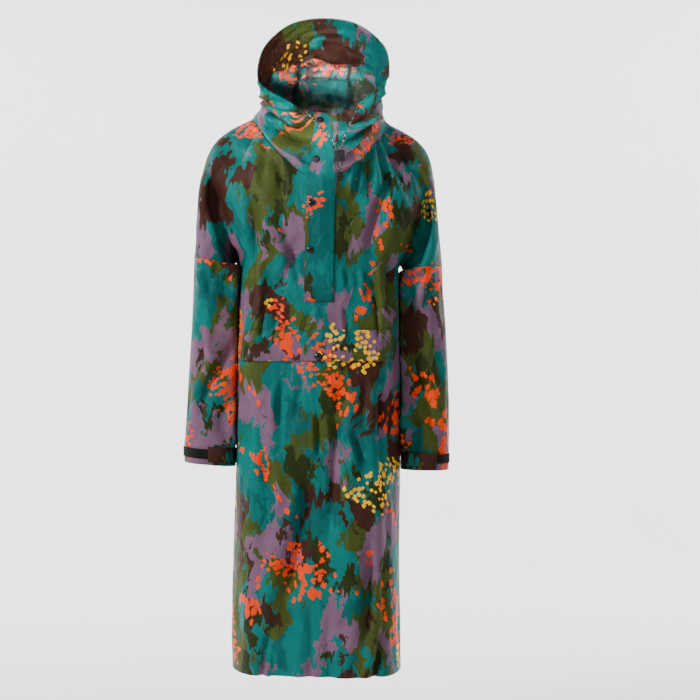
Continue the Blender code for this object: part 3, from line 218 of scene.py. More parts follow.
def yokeSide(line, level, hand, front):
    # one section over the shoulder, from its outer end to the slit
    side = 0 if hand < 0 else 1
    outerX, outerZ = line["left"] if hand < 0 else line["right"]
    slit, crestX, creaseX = level["slit"], line["crest"][side], line["crease"][side]
    ribX = mix(slit, creaseX, cloth["ribShare"])
    arch = body["archHalf"] * (1.0 if level["tight"] > 0 else 1.5)
    creaseOut, creaseIn = creaseX + hand * arch, creaseX - hand * arch
    out, into, over, torso = (columns[key] for key in ("lobeOut", "lobeIn", "arch", "side"))
    innerX, innerDepth = innerHalf(ribX, level["rib"], level, hand)
    x = np.concatenate([mix(outerX, crestX, out), mix(crestX, creaseOut, into),
                        mix(creaseOut, creaseIn, over), mix(creaseIn, ribX, torso), innerX])
    tight = np.concatenate([
        level["arm"] * bulge(out), mix(level["crease"], level["arm"], bulge(1 - into)),
        np.full(len(over), level["crease"]), mix(level["crease"], level["rib"], bulge(torso)), innerDepth])
    stations = [hand * v for v in (slit, ribX, creaseX, crestX, outerX)]
    squares = [level[k] ** 2 for k in ("middle", "rib", "crease", "arm")] + [0.0]
    soft = np.sqrt(np.maximum(resample(squares, stations, hand * x), 0.0))
    depth = mix(soft, tight, level["tight"])
    z = mix(outerZ, level["z"], np.sin((x - outerX) / (slit - outerX) * np.pi / 2))
    return np.stack([x, (-depth if front else depth), z], axis=1)


def skirtSide(level, hand, front):
    # one level of the skirt, from its side to the slit
    edgeX = -level["left"] if hand < 0 else level["right"]
    rib = level["ribLeft"] if hand < 0 else level["ribRight"]
    ribX = mix(level["slit"], edgeX, cloth["ribShare"])
    innerX, innerDepth = innerHalf(ribX, rib, level, hand)
    x = np.concatenate([mix(edgeX, ribX, columns["side"]), innerX])
    depth = np.concatenate([rib * bulge(columns["side"]), innerDepth])
    return np.stack([x, (-depth if front else depth), np.full(len(x), level["z"])], axis=1)


def seatJunction(points, hand):
    # the lowest yoke section ends in the sleeve seam and the armpit
    side = 0 if hand < 0 else 1
    seamZ = body["sleeveSeamInner"][side]
    outer, innerX = points[0].copy(), points[lobeCount][0]
    reach = (points[:lobeCount + 1, 0] - outer[0]) / (innerX - outer[0])
    points[:lobeCount + 1, 2] = mix(outer[2], seamZ, reach)
    t = np.linspace(0, 1, creaseAt - lobeCount + 1)
    points[lobeCount:creaseAt + 1, 2] = mix(seamZ, body["armpit"], t) + body["archRise"] * np.sin(np.pi * t)
    points[creaseAt:, 2] = body["armpit"]
    return points


def joinSides(left, right):
    return np.concatenate([left, right[-2::-1]])


def panelGrid(levels, yoke, front):
    # rows from hem to neckline, columns from -X to +X; points that a row lacks are nan
    upper = []
    for k, (line, level) in enumerate(zip(named(body["lineNames"], body["lines"]), yoke)):
        left, right = yokeSide(line, level, -1, front), yokeSide(line, level, 1, front)
        if k == 0:
            left, right = seatJunction(left, -1), seatJunction(right, 1)
        upper.append(joinSides(left, right))
    lower = [joinSides(skirtSide(level, -1, front), skirtSide(level, 1, front)) for level in levels]
    lower.append(upper[0][creaseAt:-creaseAt])
    lower, upper = (fineRows(rows, cloth["step"])[0] for rows in (lower, upper))
    lower[:, (0, -1), 1] = 0.0
    blank = np.full((len(lower) - 1, creaseAt, 3), np.nan)
    grid = np.concatenate([np.concatenate([blank, lower[:-1], blank], axis=1), upper])
    sign = -1.0 if front else 1.0
    grid[..., 1] = sign * np.maximum(sign * grid[..., 1], 0.0)
    return grid, {"junction": len(lower) - 1}


sleeve = {
    "names": ("outer", "inner", "front", "back", "y"),
    "topDepths": (0.068, 0.056),
    "air": 0.0018,
    "blendRows": 6,
    "right": [
        ((-0.2652, -0.335), (-0.1736, -0.340), 0.066, 0.056, 0.000),
        ((-0.2690, -0.420), (-0.1732, -0.424), 0.064, 0.056, -0.002),
        ((-0.2745, -0.510), (-0.1738, -0.515), 0.061, 0.055, -0.004),
        ((-0.2795, -0.600), (-0.1746, -0.606), 0.058, 0.052, -0.006),
        ((-0.2825, -0.645), (-0.1750, -0.653), 0.056, 0.050, -0.007),
    ],
    "left": [
        ((0.2705, -0.345), (0.1782, -0.348), 0.066, 0.056, 0.000),
        ((0.2765, -0.430), (0.1782, -0.433), 0.064, 0.056, -0.002),
        ((0.2805, -0.520), (0.1786, -0.523), 0.061, 0.055, -0.004),
        ((0.2817, -0.600), (0.1790, -0.603), 0.058, 0.052, -0.006),
        ((0.2817, -0.655), (0.1792, -0.658), 0.056, 0.050, -0.007),
    ],
    "cuff": {
        "right": ((-0.2850, -0.7110), (-0.1752, -0.7205), 0.055, 0.048, -0.008),
        "left": ((0.2817, -0.7280), (0.1793, -0.7270), 0.055, 0.048, -0.008),
    },
    # heights over the hem: tab's foot, strip's foot, strip's top, tab's top
    "cuffRows": {"right": (0.0060, 0.0130, 0.0330, 0.0390), "left": (0.0012, 0.0150, 0.0345, 0.0370)},
}


def seamLine(hand):
    # outer end, crest x and inner end of the seam at the top of the sleeve, the ends as x and z
    side = 0 if hand < 0 else 1
    line = named(body["lineNames"], body["lines"])[0]
    inner = (line["crease"][side] + hand * body["archHalf"], body["sleeveSeamInner"][side])
    return (line["left"] if hand < 0 else line["right"]), line["crest"][side], inner


def sleeveRing(section, crestShare=0.5):
    # front half from the outer line to the inner one, then the back half
    (outerX, outerZ), (innerX, innerZ) = section["outer"], section["inner"]
    crest = mix(outerX, innerX, crestShare)
    out, into = columns["lobeOut"], columns["lobeIn"]
    x = np.concatenate([mix(outerX, crest, out), mix(crest, innerX, into), [innerX]])
    rise = np.concatenate([bulge(out), bulge(1 - into), [0.0]])
    back = slice(-2, 0, -1)
    x = np.concatenate([x, x[back]])
    y = section["y"] + np.concatenate([-section["front"] * rise, section["back"] * rise[back]])
    z = mix(outerZ, innerZ, (x - outerX) / (innerX - outerX))
    return np.stack([x, y, z], axis=1)


def sleeveGrid(side):
    outer, crestX, inner = seamLine(-1 if side == "right" else 1)
    top = dict(zip(sleeve["names"], (outer, inner, *sleeve["topDepths"], 0.0)))
    rings = [sleeveRing(top, (crestX - outer[0]) / (inner[0] - outer[0]))]
    rings += [sleeveRing(section) for section in named(sleeve["names"], sleeve[side])]
    cuff = dict(zip(sleeve["names"], sleeve["cuff"][side]))
    for rise in sleeve["cuffRows"][side][::-1] + (0.0,):
        lifted = {key: (cuff[key][0], cuff[key][1] + rise) for key in ("outer", "inner")}
        rings.append(sleeveRing(dict(cuff, **lifted)))
    grid, rows = fineRows(rings, cloth["step"])
    return grid, {"cuff": rows[-5:]}


hood = {
    # u counts the neckline from the slit round -X (0 to 4), the back (4 to 10) and +X (10 to 14)
    "names": ("edge", "roll", "wall", "base"),
    "lines": [
        ((0.0222, -0.118, 0.0158), (0.0208, -0.133, -0.012),
         (0.0168, -0.141, -0.055), (0.0132, -0.136, -0.092)),
        ((-0.0249, -0.115, 0.0243), (-0.03, -0.132, -0.003),
         (-0.037, -0.139, -0.042), (-0.038, -0.131, -0.08)),
        ((-0.0667, -0.1, 0.0499), (-0.074, -0.114, 0.026), (-0.08, -0.121, -0.005), (-0.084, -0.113, -0.036)),
        ((-0.1113, -0.075, 0.0793), (-0.1135, -0.084, 0.058),
         (-0.1155, -0.084, 0.035), (-0.12, -0.07, 0.012)),
        ((-0.1266, -0.062, 0.1094), (-0.116, -0.036, 0.09), (-0.111, -0.012, 0.066), (-0.12, -0.004, 0.042)),
        ((-0.1118, -0.055, 0.1684), (-0.104, -0.01, 0.145), (-0.098, 0.038, 0.106), (-0.104, 0.05, 0.056)),
        ((-0.0572, -0.045, 0.218), (-0.054, -0.002, 0.19), (-0.052, 0.062, 0.14), (-0.056, 0.098, 0.082)),
        ((0.0149, -0.04, 0.2322), (0.0149, 0.0, 0.203), (0.0149, 0.07, 0.15), (0.0149, 0.112, 0.092)),
        ((0.087, -0.045, 0.218), (0.0838, -0.002, 0.19), (0.0818, 0.062, 0.14), (0.0818, 0.098, 0.08)),
        ((0.1435, -0.055, 0.1684), (0.1358, -0.01, 0.145), (0.1268, 0.038, 0.104), (0.1268, 0.05, 0.052)),
        ((0.153, -0.062, 0.1136), (0.1445, -0.036, 0.092), (0.1385, -0.012, 0.062), (0.1425, -0.004, 0.034)),
        ((0.1449, -0.075, 0.094), (0.1445, -0.084, 0.066), (0.1405, -0.082, 0.036), (0.1405, -0.066, 0.01)),
        ((0.1104, -0.096, 0.0603), (0.112, -0.112, 0.032), (0.113, -0.118, -0.001), (0.112, -0.11, -0.03)),
        ((0.0683, -0.113, 0.0258), (0.072, -0.13, -0.003), (0.072, -0.138, -0.04), (0.068, -0.131, -0.076)),
        ((0.0234, -0.118, 0.0158), (0.022, -0.133, -0.012),
         (0.018, -0.141, -0.055), (0.0144, -0.136, -0.092)),
    ],
    "lineShares": (0.0, 0.22, 0.52, 0.78, 1.0),
    "rowCount": 66,
    "gusset": (6.15, 7.85),
    "mapSteps": (0.045, 0.19),      # size of a step of u and of v on the hood's flat map
    "fade": (0.10, 0.06),           # shares of v over which the relief dies out at the neck and the face edge
    "gathers": {"height": 0.0013, "length": 0.016, "squeeze": 0.30, "reach": 0.045, "seed": 11},
}


def arcShares(points):
    lengths = lengthsAlong(points)
    return lengths / lengths[-1]


def neckline(front, back):
    # shared edge of the panels and the hood, from the slit round -X, the back and +X to the slit again
    left = front[-1][halfCount - 1::-1]
    right = front[-1][:halfCount - 2:-1]
    rear = back[-1][1:-1]
    around = np.concatenate([left[-1:], rear, right[:1]])
    u = np.concatenate([4 * arcShares(left), 4 + 6 * arcShares(around)[1:-1], 10 + 4 * arcShares(right)])
    return np.concatenate([left, rear, right]), u


def hoodGrid(edge, u):
    stations = np.arange(len(hood["lines"]), dtype=float)
    rows = [resample(np.array([line[k] for line in hood["lines"]]), stations, u) for k in range(4)]
    rows.append(edge)
    v = np.linspace(0, 1, hood["rowCount"] + 1)
    return resample(np.array(rows), hood["lineShares"], v), v


# A crease is its width, depth, rise, open end and points (x, z) from head to foot, in metres. The rise is a
# soft ridge beside it, as a share of its depth: over 0 on its -X flank, under 0 on its +X flank. The open end
# is the one that does not die out.
creases = {
    "front": [
        (0.014, 0.011, 0.5, "", [(-0.012, -0.7), (-0.0288, -0.8123), (-0.0514, -0.9049), (-0.075, -1.03)]),
        (0.022, -0.006, 0.0, "foot", [(-0.06, -0.62), (-0.09, -0.88), (-0.118, -1.145)]),
        (0.01, 0.01, -0.6, "foot", [(-0.095, -1.04), (-0.104, -1.09), (-0.112, -1.145)]),
        (0.007, 0.007, 0.6, "foot", [(-0.08, -1.06), (-0.088, -1.1), (-0.092, -1.145)]),
        (0.014, 0.009, -0.5, "", [(0.052, -0.515), (0.0411, -0.617), (0.037, -0.7198), (0.02, -0.9)]),
        (0.012, 0.01, 0.5, "", [(0.112, -0.84), (0.1049, -0.946), (0.1008, -1.018), (0.096, -1.1)]),
        (0.022, -0.006, 0.0, "foot", [(0.07, -0.8), (0.064, -0.98), (0.06, -1.145)]),
        (0.01, 0.008, 0.6, "foot", [(0.142, -1.03), (0.1285, -1.1), (0.118, -1.145)]),
        (0.012, 0.005, -0.6, "", [(-0.1217, -0.5762), (-0.1135, -0.6793), (-0.1011, -0.7825),
                               (-0.097, -0.8856)]),
        (0.012, 0.005, 0.5, "", [(-0.1511, -0.5179), (-0.1428, -0.6214), (-0.147, -0.7849)]),
        (0.012, 0.005, 0.5, "", [(0.1403, -0.5162), (0.1341, -0.6393), (0.1424, -0.7825)]),
        (0.012, 0.005, -0.5, "", [(0.1506, -0.865), (0.1424, -0.9682), (0.1465, -1.0713)]),
        (0.009, 0.004, 0.6, "", [(-0.03, -0.505), (-0.036, -0.56), (-0.052, -0.64)]),
        (0.009, 0.004, -0.6, "", [(0.096, -0.505), (0.1, -0.57), (0.094, -0.66)]),
        (0.013, 0.005, 0.5, "foot", [(-0.02, -0.98), (-0.012, -1.06), (-0.016, -1.145)]),
        (0.011, 0.004, -0.5, "foot", [(0.03, -1.0), (0.022, -1.07), (0.026, -1.145)]),
        (0.006, 0.005, 0.6, "", [(0.002, -0.59), (0.001, -0.64), (0.004, -0.7)]),
        (0.007, 0.006, -0.6, "", [(0.028, -0.585), (0.0413, -0.6515), (0.0598, -0.699), (0.069, -0.755)]),
        (0.006, 0.005, 0.6, "", [(0.07, -0.63), (0.08, -0.665), (0.0945, -0.715)]),
        (0.006, 0.005, -0.6, "", [(0.134, -0.54), (0.1365, -0.59), (0.139, -0.64)]),
        (0.006, 0.005, 0.6, "", [(-0.07, -0.52), (-0.08, -0.58), (-0.076, -0.65)]),
        # chest
        (0.008, 0.007, -0.6, "", [(0.111, -0.285), (0.1203, -0.3612), (0.1362, -0.4192)]),
        (0.012, 0.008, -0.5, "", [(-0.126, -0.15), (-0.1382, -0.2461), (-0.1403, -0.3389), (-0.146, -0.428)]),
        (0.018, 0.005, 0.0, "", [(-0.15, -0.06), (-0.136, -0.16), (-0.112, -0.33)]),
        (0.009, 0.006, 0.6, "", [(-0.0763, -0.1945), (-0.0598, -0.2564), (-0.0433, -0.3079),
                               (-0.0309, -0.3492)]),
        (0.009, 0.005, -0.5, "", [(-0.08, -0.355), (-0.0557, -0.2914), (-0.0351, -0.2195)]),
        (0.014, 0.007, 0.4, "", [(0.165, -0.06), (0.128, -0.19), (0.1135, -0.2448), (0.1176, -0.32)]),
        (0.01, 0.006, -0.5, "", [(0.1552, -0.2557), (0.1511, -0.3488), (0.1532, -0.4216)]),
        (0.005, 0.004, 0.6, "head", [(-0.146, -0.44), (-0.143, -0.41), (-0.138, -0.37)]),
        (0.005, 0.004, -0.6, "head", [(-0.116, -0.44), (-0.112, -0.405), (-0.106, -0.35)]),
        (0.004, 0.003, 0.6, "head", [(-0.088, -0.44), (-0.084, -0.415), (-0.076, -0.375)]),
        (0.005, 0.003, 0.5, "head", [(-0.028, -0.436), (-0.02, -0.41), (-0.006, -0.38)]),
        (0.005, 0.003, -0.6, "head", [(0.062, -0.44), (0.06, -0.41), (0.053, -0.375)]),
        (0.005, 0.004, 0.6, "head", [(0.128, -0.44), (0.126, -0.405), (0.12, -0.35)]),
        (0.005, 0.003, 0.6, "", [(0.0578, -0.2976), (0.0619, -0.3286), (0.0619, -0.3533)]),
        (0.005, 0.003, -0.6, "", [(0.0825, -0.3038), (0.0846, -0.3292), (0.085, -0.356)]),
        (0.006, 0.003, 0.6, "", [(0.1011, -0.2914), (0.1052, -0.3533), (0.104, -0.385)]),
        # radiating pleats under the collar
        (0.006, 0.008, 0.6, "head", [(0.096, -0.07), (0.088, -0.092), (0.082, -0.122), (0.08, -0.165)]),
        (0.006, 0.009, -0.6, "head", [(0.11, -0.055), (0.108, -0.085), (0.11, -0.118), (0.116, -0.165)]),
        (0.007, 0.009, 0.6, "head", [(0.126, -0.035), (0.131, -0.062), (0.138, -0.094), (0.152, -0.145)]),
        (0.007, 0.008, 0.6, "head", [(0.14, -0.018), (0.151, -0.045), (0.165, -0.08), (0.186, -0.13)]),
        (0.007, 0.006, -0.5, "head", [(0.152, -0.006), (0.17, -0.032), (0.19, -0.06), (0.214, -0.105)]),
        (0.008, 0.004, 0.5, "head", [(-0.106, -0.05), (-0.112, -0.09), (-0.124, -0.1425)]),
        (0.008, 0.004, -0.5, "head", [(-0.0807, -0.0847), (-0.0724, -0.1211), (-0.0766, -0.1729)]),
        (0.009, 0.004, -0.5, "head", [(-0.13, -0.01), (-0.15, -0.045), (-0.176, -0.085)]),
        # over the arms and down the sleeves
        (0.012, 0.01, 0.5, "foot", [(-0.229, -0.079), (-0.215, -0.168), (-0.196, -0.231), (-0.178, -0.279)]),
        (0.012, 0.01, -0.5, "foot", [(0.241, -0.112), (0.235, -0.179), (0.224, -0.235), (0.208, -0.28)]),
        (0.009, 0.005, 0.5, "", [(-0.228, -0.13), (-0.236, -0.19), (-0.232, -0.262)]),
        (0.007, 0.005, 0.6, "", [(-0.252, -0.285), (-0.236, -0.315), (-0.224, -0.365)]),
        (0.007, 0.005, -0.6, "", [(-0.196, -0.29), (-0.204, -0.33), (-0.198, -0.4)]),
        (0.005, 0.003, 0.6, "", [(-0.214, -0.28), (-0.216, -0.305), (-0.22, -0.335)]),
        (0.01, 0.006, 0.6, "", [(-0.184, -0.43), (-0.204, -0.5), (-0.232, -0.56), (-0.252, -0.64)]),
        (0.009, 0.004, -0.5, "", [(-0.258, -0.4), (-0.246, -0.47), (-0.25, -0.54)]),
        (0.008, 0.005, -0.5, "", [(-0.192, -0.56), (-0.206, -0.62), (-0.2, -0.69)]),
        (0.009, 0.005, -0.5, "", [(0.236, -0.11), (0.25, -0.18), (0.244, -0.262)]),
        (0.007, 0.005, 0.6, "", [(0.256, -0.3), (0.238, -0.335), (0.226, -0.39)]),
        (0.007, 0.005, -0.6, "", [(0.198, -0.305), (0.206, -0.345), (0.2, -0.42)]),
        (0.005, 0.003, 0.6, "", [(0.218, -0.3), (0.219, -0.325), (0.214, -0.352)]),
        (0.01, 0.006, -0.6, "", [(0.188, -0.45), (0.21, -0.52), (0.236, -0.59), (0.252, -0.68)]),
        (0.009, 0.004, 0.5, "", [(0.264, -0.42), (0.25, -0.5), (0.256, -0.58)]),
        (0.008, 0.005, 0.5, "", [(0.196, -0.58), (0.212, -0.64), (0.204, -0.71)]),
    ],
    "back": [
        (0.017, 0.01, 0.4, "", [(-0.05, -0.56), (-0.064, -0.8), (-0.085, -1.12)]),
        (0.02, -0.005, 0.0, "foot", [(-0.09, -0.48), (-0.112, -0.8), (-0.13, -1.145)]),
        (0.018, 0.009, -0.4, "foot", [(0.02, -0.62), (0.014, -0.86), (0.005, -1.145)]),
        (0.017, 0.01, 0.4, "foot", [(0.08, -0.56), (0.086, -0.85), (0.1, -1.145)]),
        (0.018, 0.008, 0.4, "", [(-0.14, -0.08), (-0.118, -0.21), (-0.09, -0.36)]),
        (0.018, 0.008, -0.4, "", [(0.15, -0.08), (0.126, -0.23), (0.1, -0.38)]),
        (0.012, 0.005, -0.5, "", [(-0.04, -0.06), (-0.052, -0.17), (-0.04, -0.3)]),
        (0.012, 0.005, 0.5, "", [(0.052, -0.05), (0.044, -0.18), (0.058, -0.33)]),
        (0.012, 0.005, 0.5, "", [(0.138, -0.48), (0.13, -0.64), (0.144, -0.83)]),
        (0.012, 0.005, -0.5, "", [(-0.148, -0.52), (-0.138, -0.7), (-0.146, -0.9)]),
        (0.01, 0.006, 0.6, "foot", [(-0.02, -0.94), (-0.028, -1.05), (-0.024, -1.145)]),
        (0.01, 0.006, -0.6, "foot", [(0.052, -0.98), (0.058, -1.06), (0.05, -1.145)]),
        (0.009, 0.006, 0.6, "foot", [(0.14, -1.02), (0.146, -1.08), (0.138, -1.145)]),
        (0.01, 0.005, 0.5, "head", [(-0.11, 0.01), (-0.14, -0.03), (-0.18, -0.08)]),
        (0.01, 0.005, -0.5, "head", [(0.118, 0.006), (0.15, -0.036), (0.186, -0.09)]),
        (0.01, 0.005, 0.5, "", [(-0.23, -0.11), (-0.238, -0.19), (-0.23, -0.264)]),
        (0.01, 0.005, -0.5, "", [(0.232, -0.1), (0.246, -0.18), (0.238, -0.27)]),
        (0.01, 0.006, 0.6, "", [(-0.186, -0.36), (-0.212, -0.45), (-0.244, -0.53)]),
        (0.009, 0.005, -0.5, "", [(-0.256, -0.52), (-0.24, -0.6), (-0.214, -0.68)]),
        (0.01, 0.006, -0.6, "", [(0.19, -0.38), (0.216, -0.47), (0.25, -0.56)]),
        (0.009, 0.005, 0.5, "", [(0.262, -0.54), (0.244, -0.62), (0.214, -0.7)]),
    ],
}


creaseForm = {
    "points": 28,
    "reach": 4.0,               # how far it is felt, in widths
    "gain": 1.9,
    "power": 1.4,
    "ridge": (1.7, 1.1),        # where the ridge lies and how wide it is, in widths
    "fade": 0.35,               # share of the length over which an end dies out
}


# fine unevenness of the whole cloth: wavelength, height, and how sharp its ridges are
crinkle = [
    dict(length=0.150, height=0.0030, sharp=0.25, drop=0.26, seed=3),
    dict(length=0.056, height=0.0013, sharp=0.75, drop=0.34, seed=8),
    dict(length=0.026, height=0.0004, sharp=0.9, drop=0.6, seed=21),
]


def swirl(points, length, seed, waves=14):
    # smooth random field of about unit size through space
    rng = np.random.default_rng(seed)
    ways = unit(rng.normal(size=(waves, 3))) * (2 * np.pi / length) * rng.uniform(0.7, 1.4, (waves, 1))
    phase = rng.uniform(0, 2 * np.pi, waves)
    return np.sin(points @ ways.T + phase).sum(axis=-1) / math.sqrt(waves / 2)


def unevenness(points):
    # longer down the cloth than across it
    total = np.zeros(len(points))
    for layer in crinkle:
        field = swirl(points * (1.0, 1.0, layer["drop"]), layer["length"], layer["seed"])
        ridge = 0.8 - 1.25 * np.sqrt(field ** 2 + 0.02)
        total += layer["height"] * mix(field, ridge, layer["sharp"])
    return total


def creaseHeight(places, weight, crease):
    # height of one crease at the places (x, z)
    width, depth, rise, openEnd, points = crease
    run = evenRun(points, creaseForm["points"])
    start, way = run[:-1], np.diff(run, axis=0)
    reach = creaseForm["reach"] * width
    near = np.all((places > run.min(axis=0) - reach) & (places < run.max(axis=0) + reach), axis=1)
    near &= weight > 0
    total = np.zeros(len(places))
    if not near.any():
        return total
    rel = places[near][:, None, :] - start[None]
    along = np.clip((rel * way).sum(-1) / (way ** 2).sum(-1), 0, 1)
    off = rel - along[..., None] * way
    far = (off ** 2).sum(-1)
    k = far.argmin(axis=1)
    pick = np.arange(len(k))
    turn = way[k, 0] * off[pick, k, 1] - way[k, 1] * off[pick, k, 0]
    t = np.sqrt(far[pick, k]) * np.sign(turn) / width
    share = (k + along[pick, k]) / len(start)
    fade = np.ones(len(k))
    if openEnd != "head":
        fade *= ease(share / creaseForm["fade"])
    if openEnd != "foot":
        fade *= ease((1 - share) / creaseForm["fade"])
    shape = -np.exp(-np.abs(t) ** creaseForm["power"])
    if rise:
        at, wide = creaseForm["ridge"]
        shape += abs(rise) * np.exp(-((t + np.sign(rise) * at) / wide) ** 2)
    total[near] = creaseForm["gain"] * depth * fade * shape
    return total


# distances over which the relief comes in: from the sides, from the hem, and by depth and facing for creases
reliefForm = {"sides": 0.035, "hem": 0.07, "hemShare": 0.3, "depth": 0.05, "facing": 0.5}


def relief(points, normals):
    # height of the creases and unevenness at each point, along its normal
    places = points[:, (0, 2)]
    total = unevenness(points) * ease(np.abs(points[:, 1]) / reliefForm["sides"])
    total *= mix(reliefForm["hemShare"], 1.0, ease((points[:, 2] - body["hem"]) / reliefForm["hem"]))
    for side, sign in (("front", -1.0), ("back", 1.0)):
        weight = ease(sign * normals[:, 1] / reliefForm["facing"])
        weight *= ease(sign * points[:, 1] / reliefForm["depth"])
        for crease in creases[side]:
            total += weight * creaseHeight(places, weight, crease)
    return total


def cellMask(grid, wrap=False):
    solid = ~np.isnan(grid[..., 0])
    right = np.roll(solid, -1, axis=1)
    cells = solid[:-1] & right[:-1] & right[1:] & solid[1:]
    return cells if wrap else cells[:, :-1]


def gridNormals(grid, cells, flip=False):
    width = grid.shape[1]
    j = np.arange(cells.shape[1])
    k = (j + 1) % width
    a, b, c, d = grid[:-1][:, j], grid[:-1][:, k], grid[1:][:, k], grid[1:][:, j]
    face = np.where(cells[..., None], unit(np.cross(c - a, d - b)), 0.0)
    total = np.zeros_like(grid)
    for rows, cols in ((slice(None, -1), j), (slice(None, -1), k), (slice(1, None), k), (slice(1, None), j)):
        part = np.zeros_like(grid)
        part[rows, cols] = face
        total += part
    return unit(total) * (-1.0 if flip else 1.0)


def clothOf(grid, flip=False, **more):
    return dict(grid=grid, normals=gridNormals(grid, cellMask(grid), flip=flip), **more)


def flatten(normals, where, axis):
    # turns normals at an edge so that the cut edge lies in the seam's plane
    axis = np.asarray(axis, float)
    part = normals[where]
    normals[where] = unit(part - (part @ axis)[..., None] * axis)


def displaced(grid, normals):
    solid = ~np.isnan(grid[..., 0])
    result = grid.copy()
    result[solid] += normals[solid] * relief(grid[solid], normals[solid])[:, None]
    return result


def seamPlane(hand):
    outer, inner = seamLine(hand)[::2]
    run = unit(np.array([inner[0] - outer[0], 0.0, inner[1] - outer[1]]))
    normal = np.array([-run[2], 0.0, run[0]])
    return normal if normal[2] > 0 else -normal


def settle(normals, junction):
    # turns the panel's normals at its hem, sides and sleeve seams into the planes of those edges
    end = normals.shape[1] - 1
    flatten(normals, (0, slice(None)), (0, 0, 1))
    for hand, at, arm in ((-1, lambda k: k, slice(0, lobeCount + 1)),
                          (1, lambda k: end - k, slice(end - lobeCount, end + 1))):
        flatten(normals, (slice(0, junction + 1), at(creaseAt)), (0, 1, 0))
        for k in range(lobeCount, creaseAt + 1):
            flatten(normals, (slice(junction, junction + 1), at(k)), (0, 1, 0))
        flatten(normals, (slice(junction, None), at(0)), (0, 1, 0))
        flatten(normals, (junction, arm), seamPlane(hand))


def panelSurface(front):
    levels = named(body["levelNames"], body["front" if front else "back"])
    yoke = named(body["yokeNames"], body["frontYoke" if front else "backYoke"])
    grid, rows = panelGrid(levels, yoke, front)
    cells = cellMask(grid)
    normals = gridNormals(grid, cells, flip=not front)
    settle(normals, rows["junction"])
    grid = displaced(grid, normals)
    normals = gridNormals(grid, cells, flip=not front)
    settle(normals, rows["junction"])
    return dict(grid=grid, cells=cells, normals=normals, rows=rows)


# where a sleeve leans on the body: pairs are a distance and the one over which it comes in, in metres
lean = {
    "columns": 60,              # of the panel, from its side
    "deepest": 0.10,
    "depthSteps": 50,
    "inner": 0.052,             # reach across the sleeve from its inner line
    "outside": (0.072, 0.022),
    "middle": (0.004, 0.014),
    "top": (0.004, 0.007),
    "foot": (0.035, 0.013),
    "limits": (0.095, 0.22),    # depth and x beyond which nothing moves
}


def bodySide(surface, hand, y, z):
    # x of the panel's side below the armpits at the depth y and height z
    part = surface["grid"][:surface["rows"]["junction"] + 1]
    first, last = creaseAt, creaseAt + lean["columns"]
    part = part[:, first:last] if hand < 0 else part[:, -first - 1:-last - 1:-1]
    depths = np.linspace(0.0, lean["deepest"], lean["depthSteps"] + 1)
    table = np.stack([np.interp(depths, np.maximum.accumulate(np.abs(row[:, 1])), row[:, 0]) for row in part])
    r = np.interp(z, part[:, :, 2].mean(axis=1), np.arange(len(part)))
    c = np.clip(np.abs(y) / depths[1], 0, lean["depthSteps"] - 0.001)
    i, j = np.minimum(r.astype(int), len(part) - 2), c.astype(int)
    low, high = (mix(table[k, j], table[k, j + 1], c - j) for k in (i, i + 1))
    return mix(low, high, r - i)


def leaned(grid, hand, front, back):
    # the sleeve leans on the body with a little air, and nowhere does it run into the body
    x, y, z = np.moveaxis(grid, -1, 0)
    depth, below, above = np.abs(y), z[:1] - z, z - z[-1:]
    wanted = ease((lean["outside"][0] - depth) / lean["outside"][1])
    wanted *= ease((depth - lean["middle"][0]) / lean["middle"][1])
    wanted *= ease(1.0 - np.abs(x - x[:, lobeCount:lobeCount + 1]) / lean["inner"])
    wanted *= ease(below / lean["top"][0]) * ease((above - lean["foot"][0]) / lean["foot"][1])
    side = np.where(y < 0, bodySide(front, hand, y, z), bodySide(back, hand, y, z))
    off = (x - side) * hand - sleeve["air"]
    near = (depth < lean["limits"][0]) & (below > lean["top"][0]) & (np.abs(x) < lean["limits"][1])
    move = np.where(off > 0, off * wanted, off * ease(below / lean["top"][1]))
    grid = grid.copy()
    grid[..., 0] -= hand * np.where(near, move, 0.0)
    return grid


def sleeveSurface(side, front, back):
    hand = -1 if side == "right" else 1
    grid, rows = sleeveGrid(side)
    cells = cellMask(grid, wrap=True)
    grid = displaced(grid, gridNormals(grid, cells, flip=hand < 0))
    grid = leaned(grid, hand, front, back)
    # the upper edge is the panels' own sewn edge
    frontRow, backRow = (panel["grid"][panel["rows"]["junction"]][::-hand] for panel in (front, back))
    seam = np.concatenate([frontRow[:lobeCount + 1], backRow[lobeCount - 1:0:-1]])
    shift = seam - grid[0]
    for i in range(sleeve["blendRows"]):
        grid[i] += shift * (1 - i / sleeve["blendRows"])
    normals = gridNormals(grid, cells, flip=hand < 0)
    return dict(grid=grid, cells=cells, normals=normals, rows=rows, hand=hand)


def hoodSurface(front, back):
    edge, u = neckline(front["grid"], back["grid"])
    grid, v = hoodGrid(edge, u)
    fade = (ease((1 - v) / hood["fade"][0]) * ease(v / hood["fade"][1]))[:, None]
    return clothOf(hoodRelief(grid, gridNormals(grid, cellMask(grid)), u, v, fade), u=u, v=v)


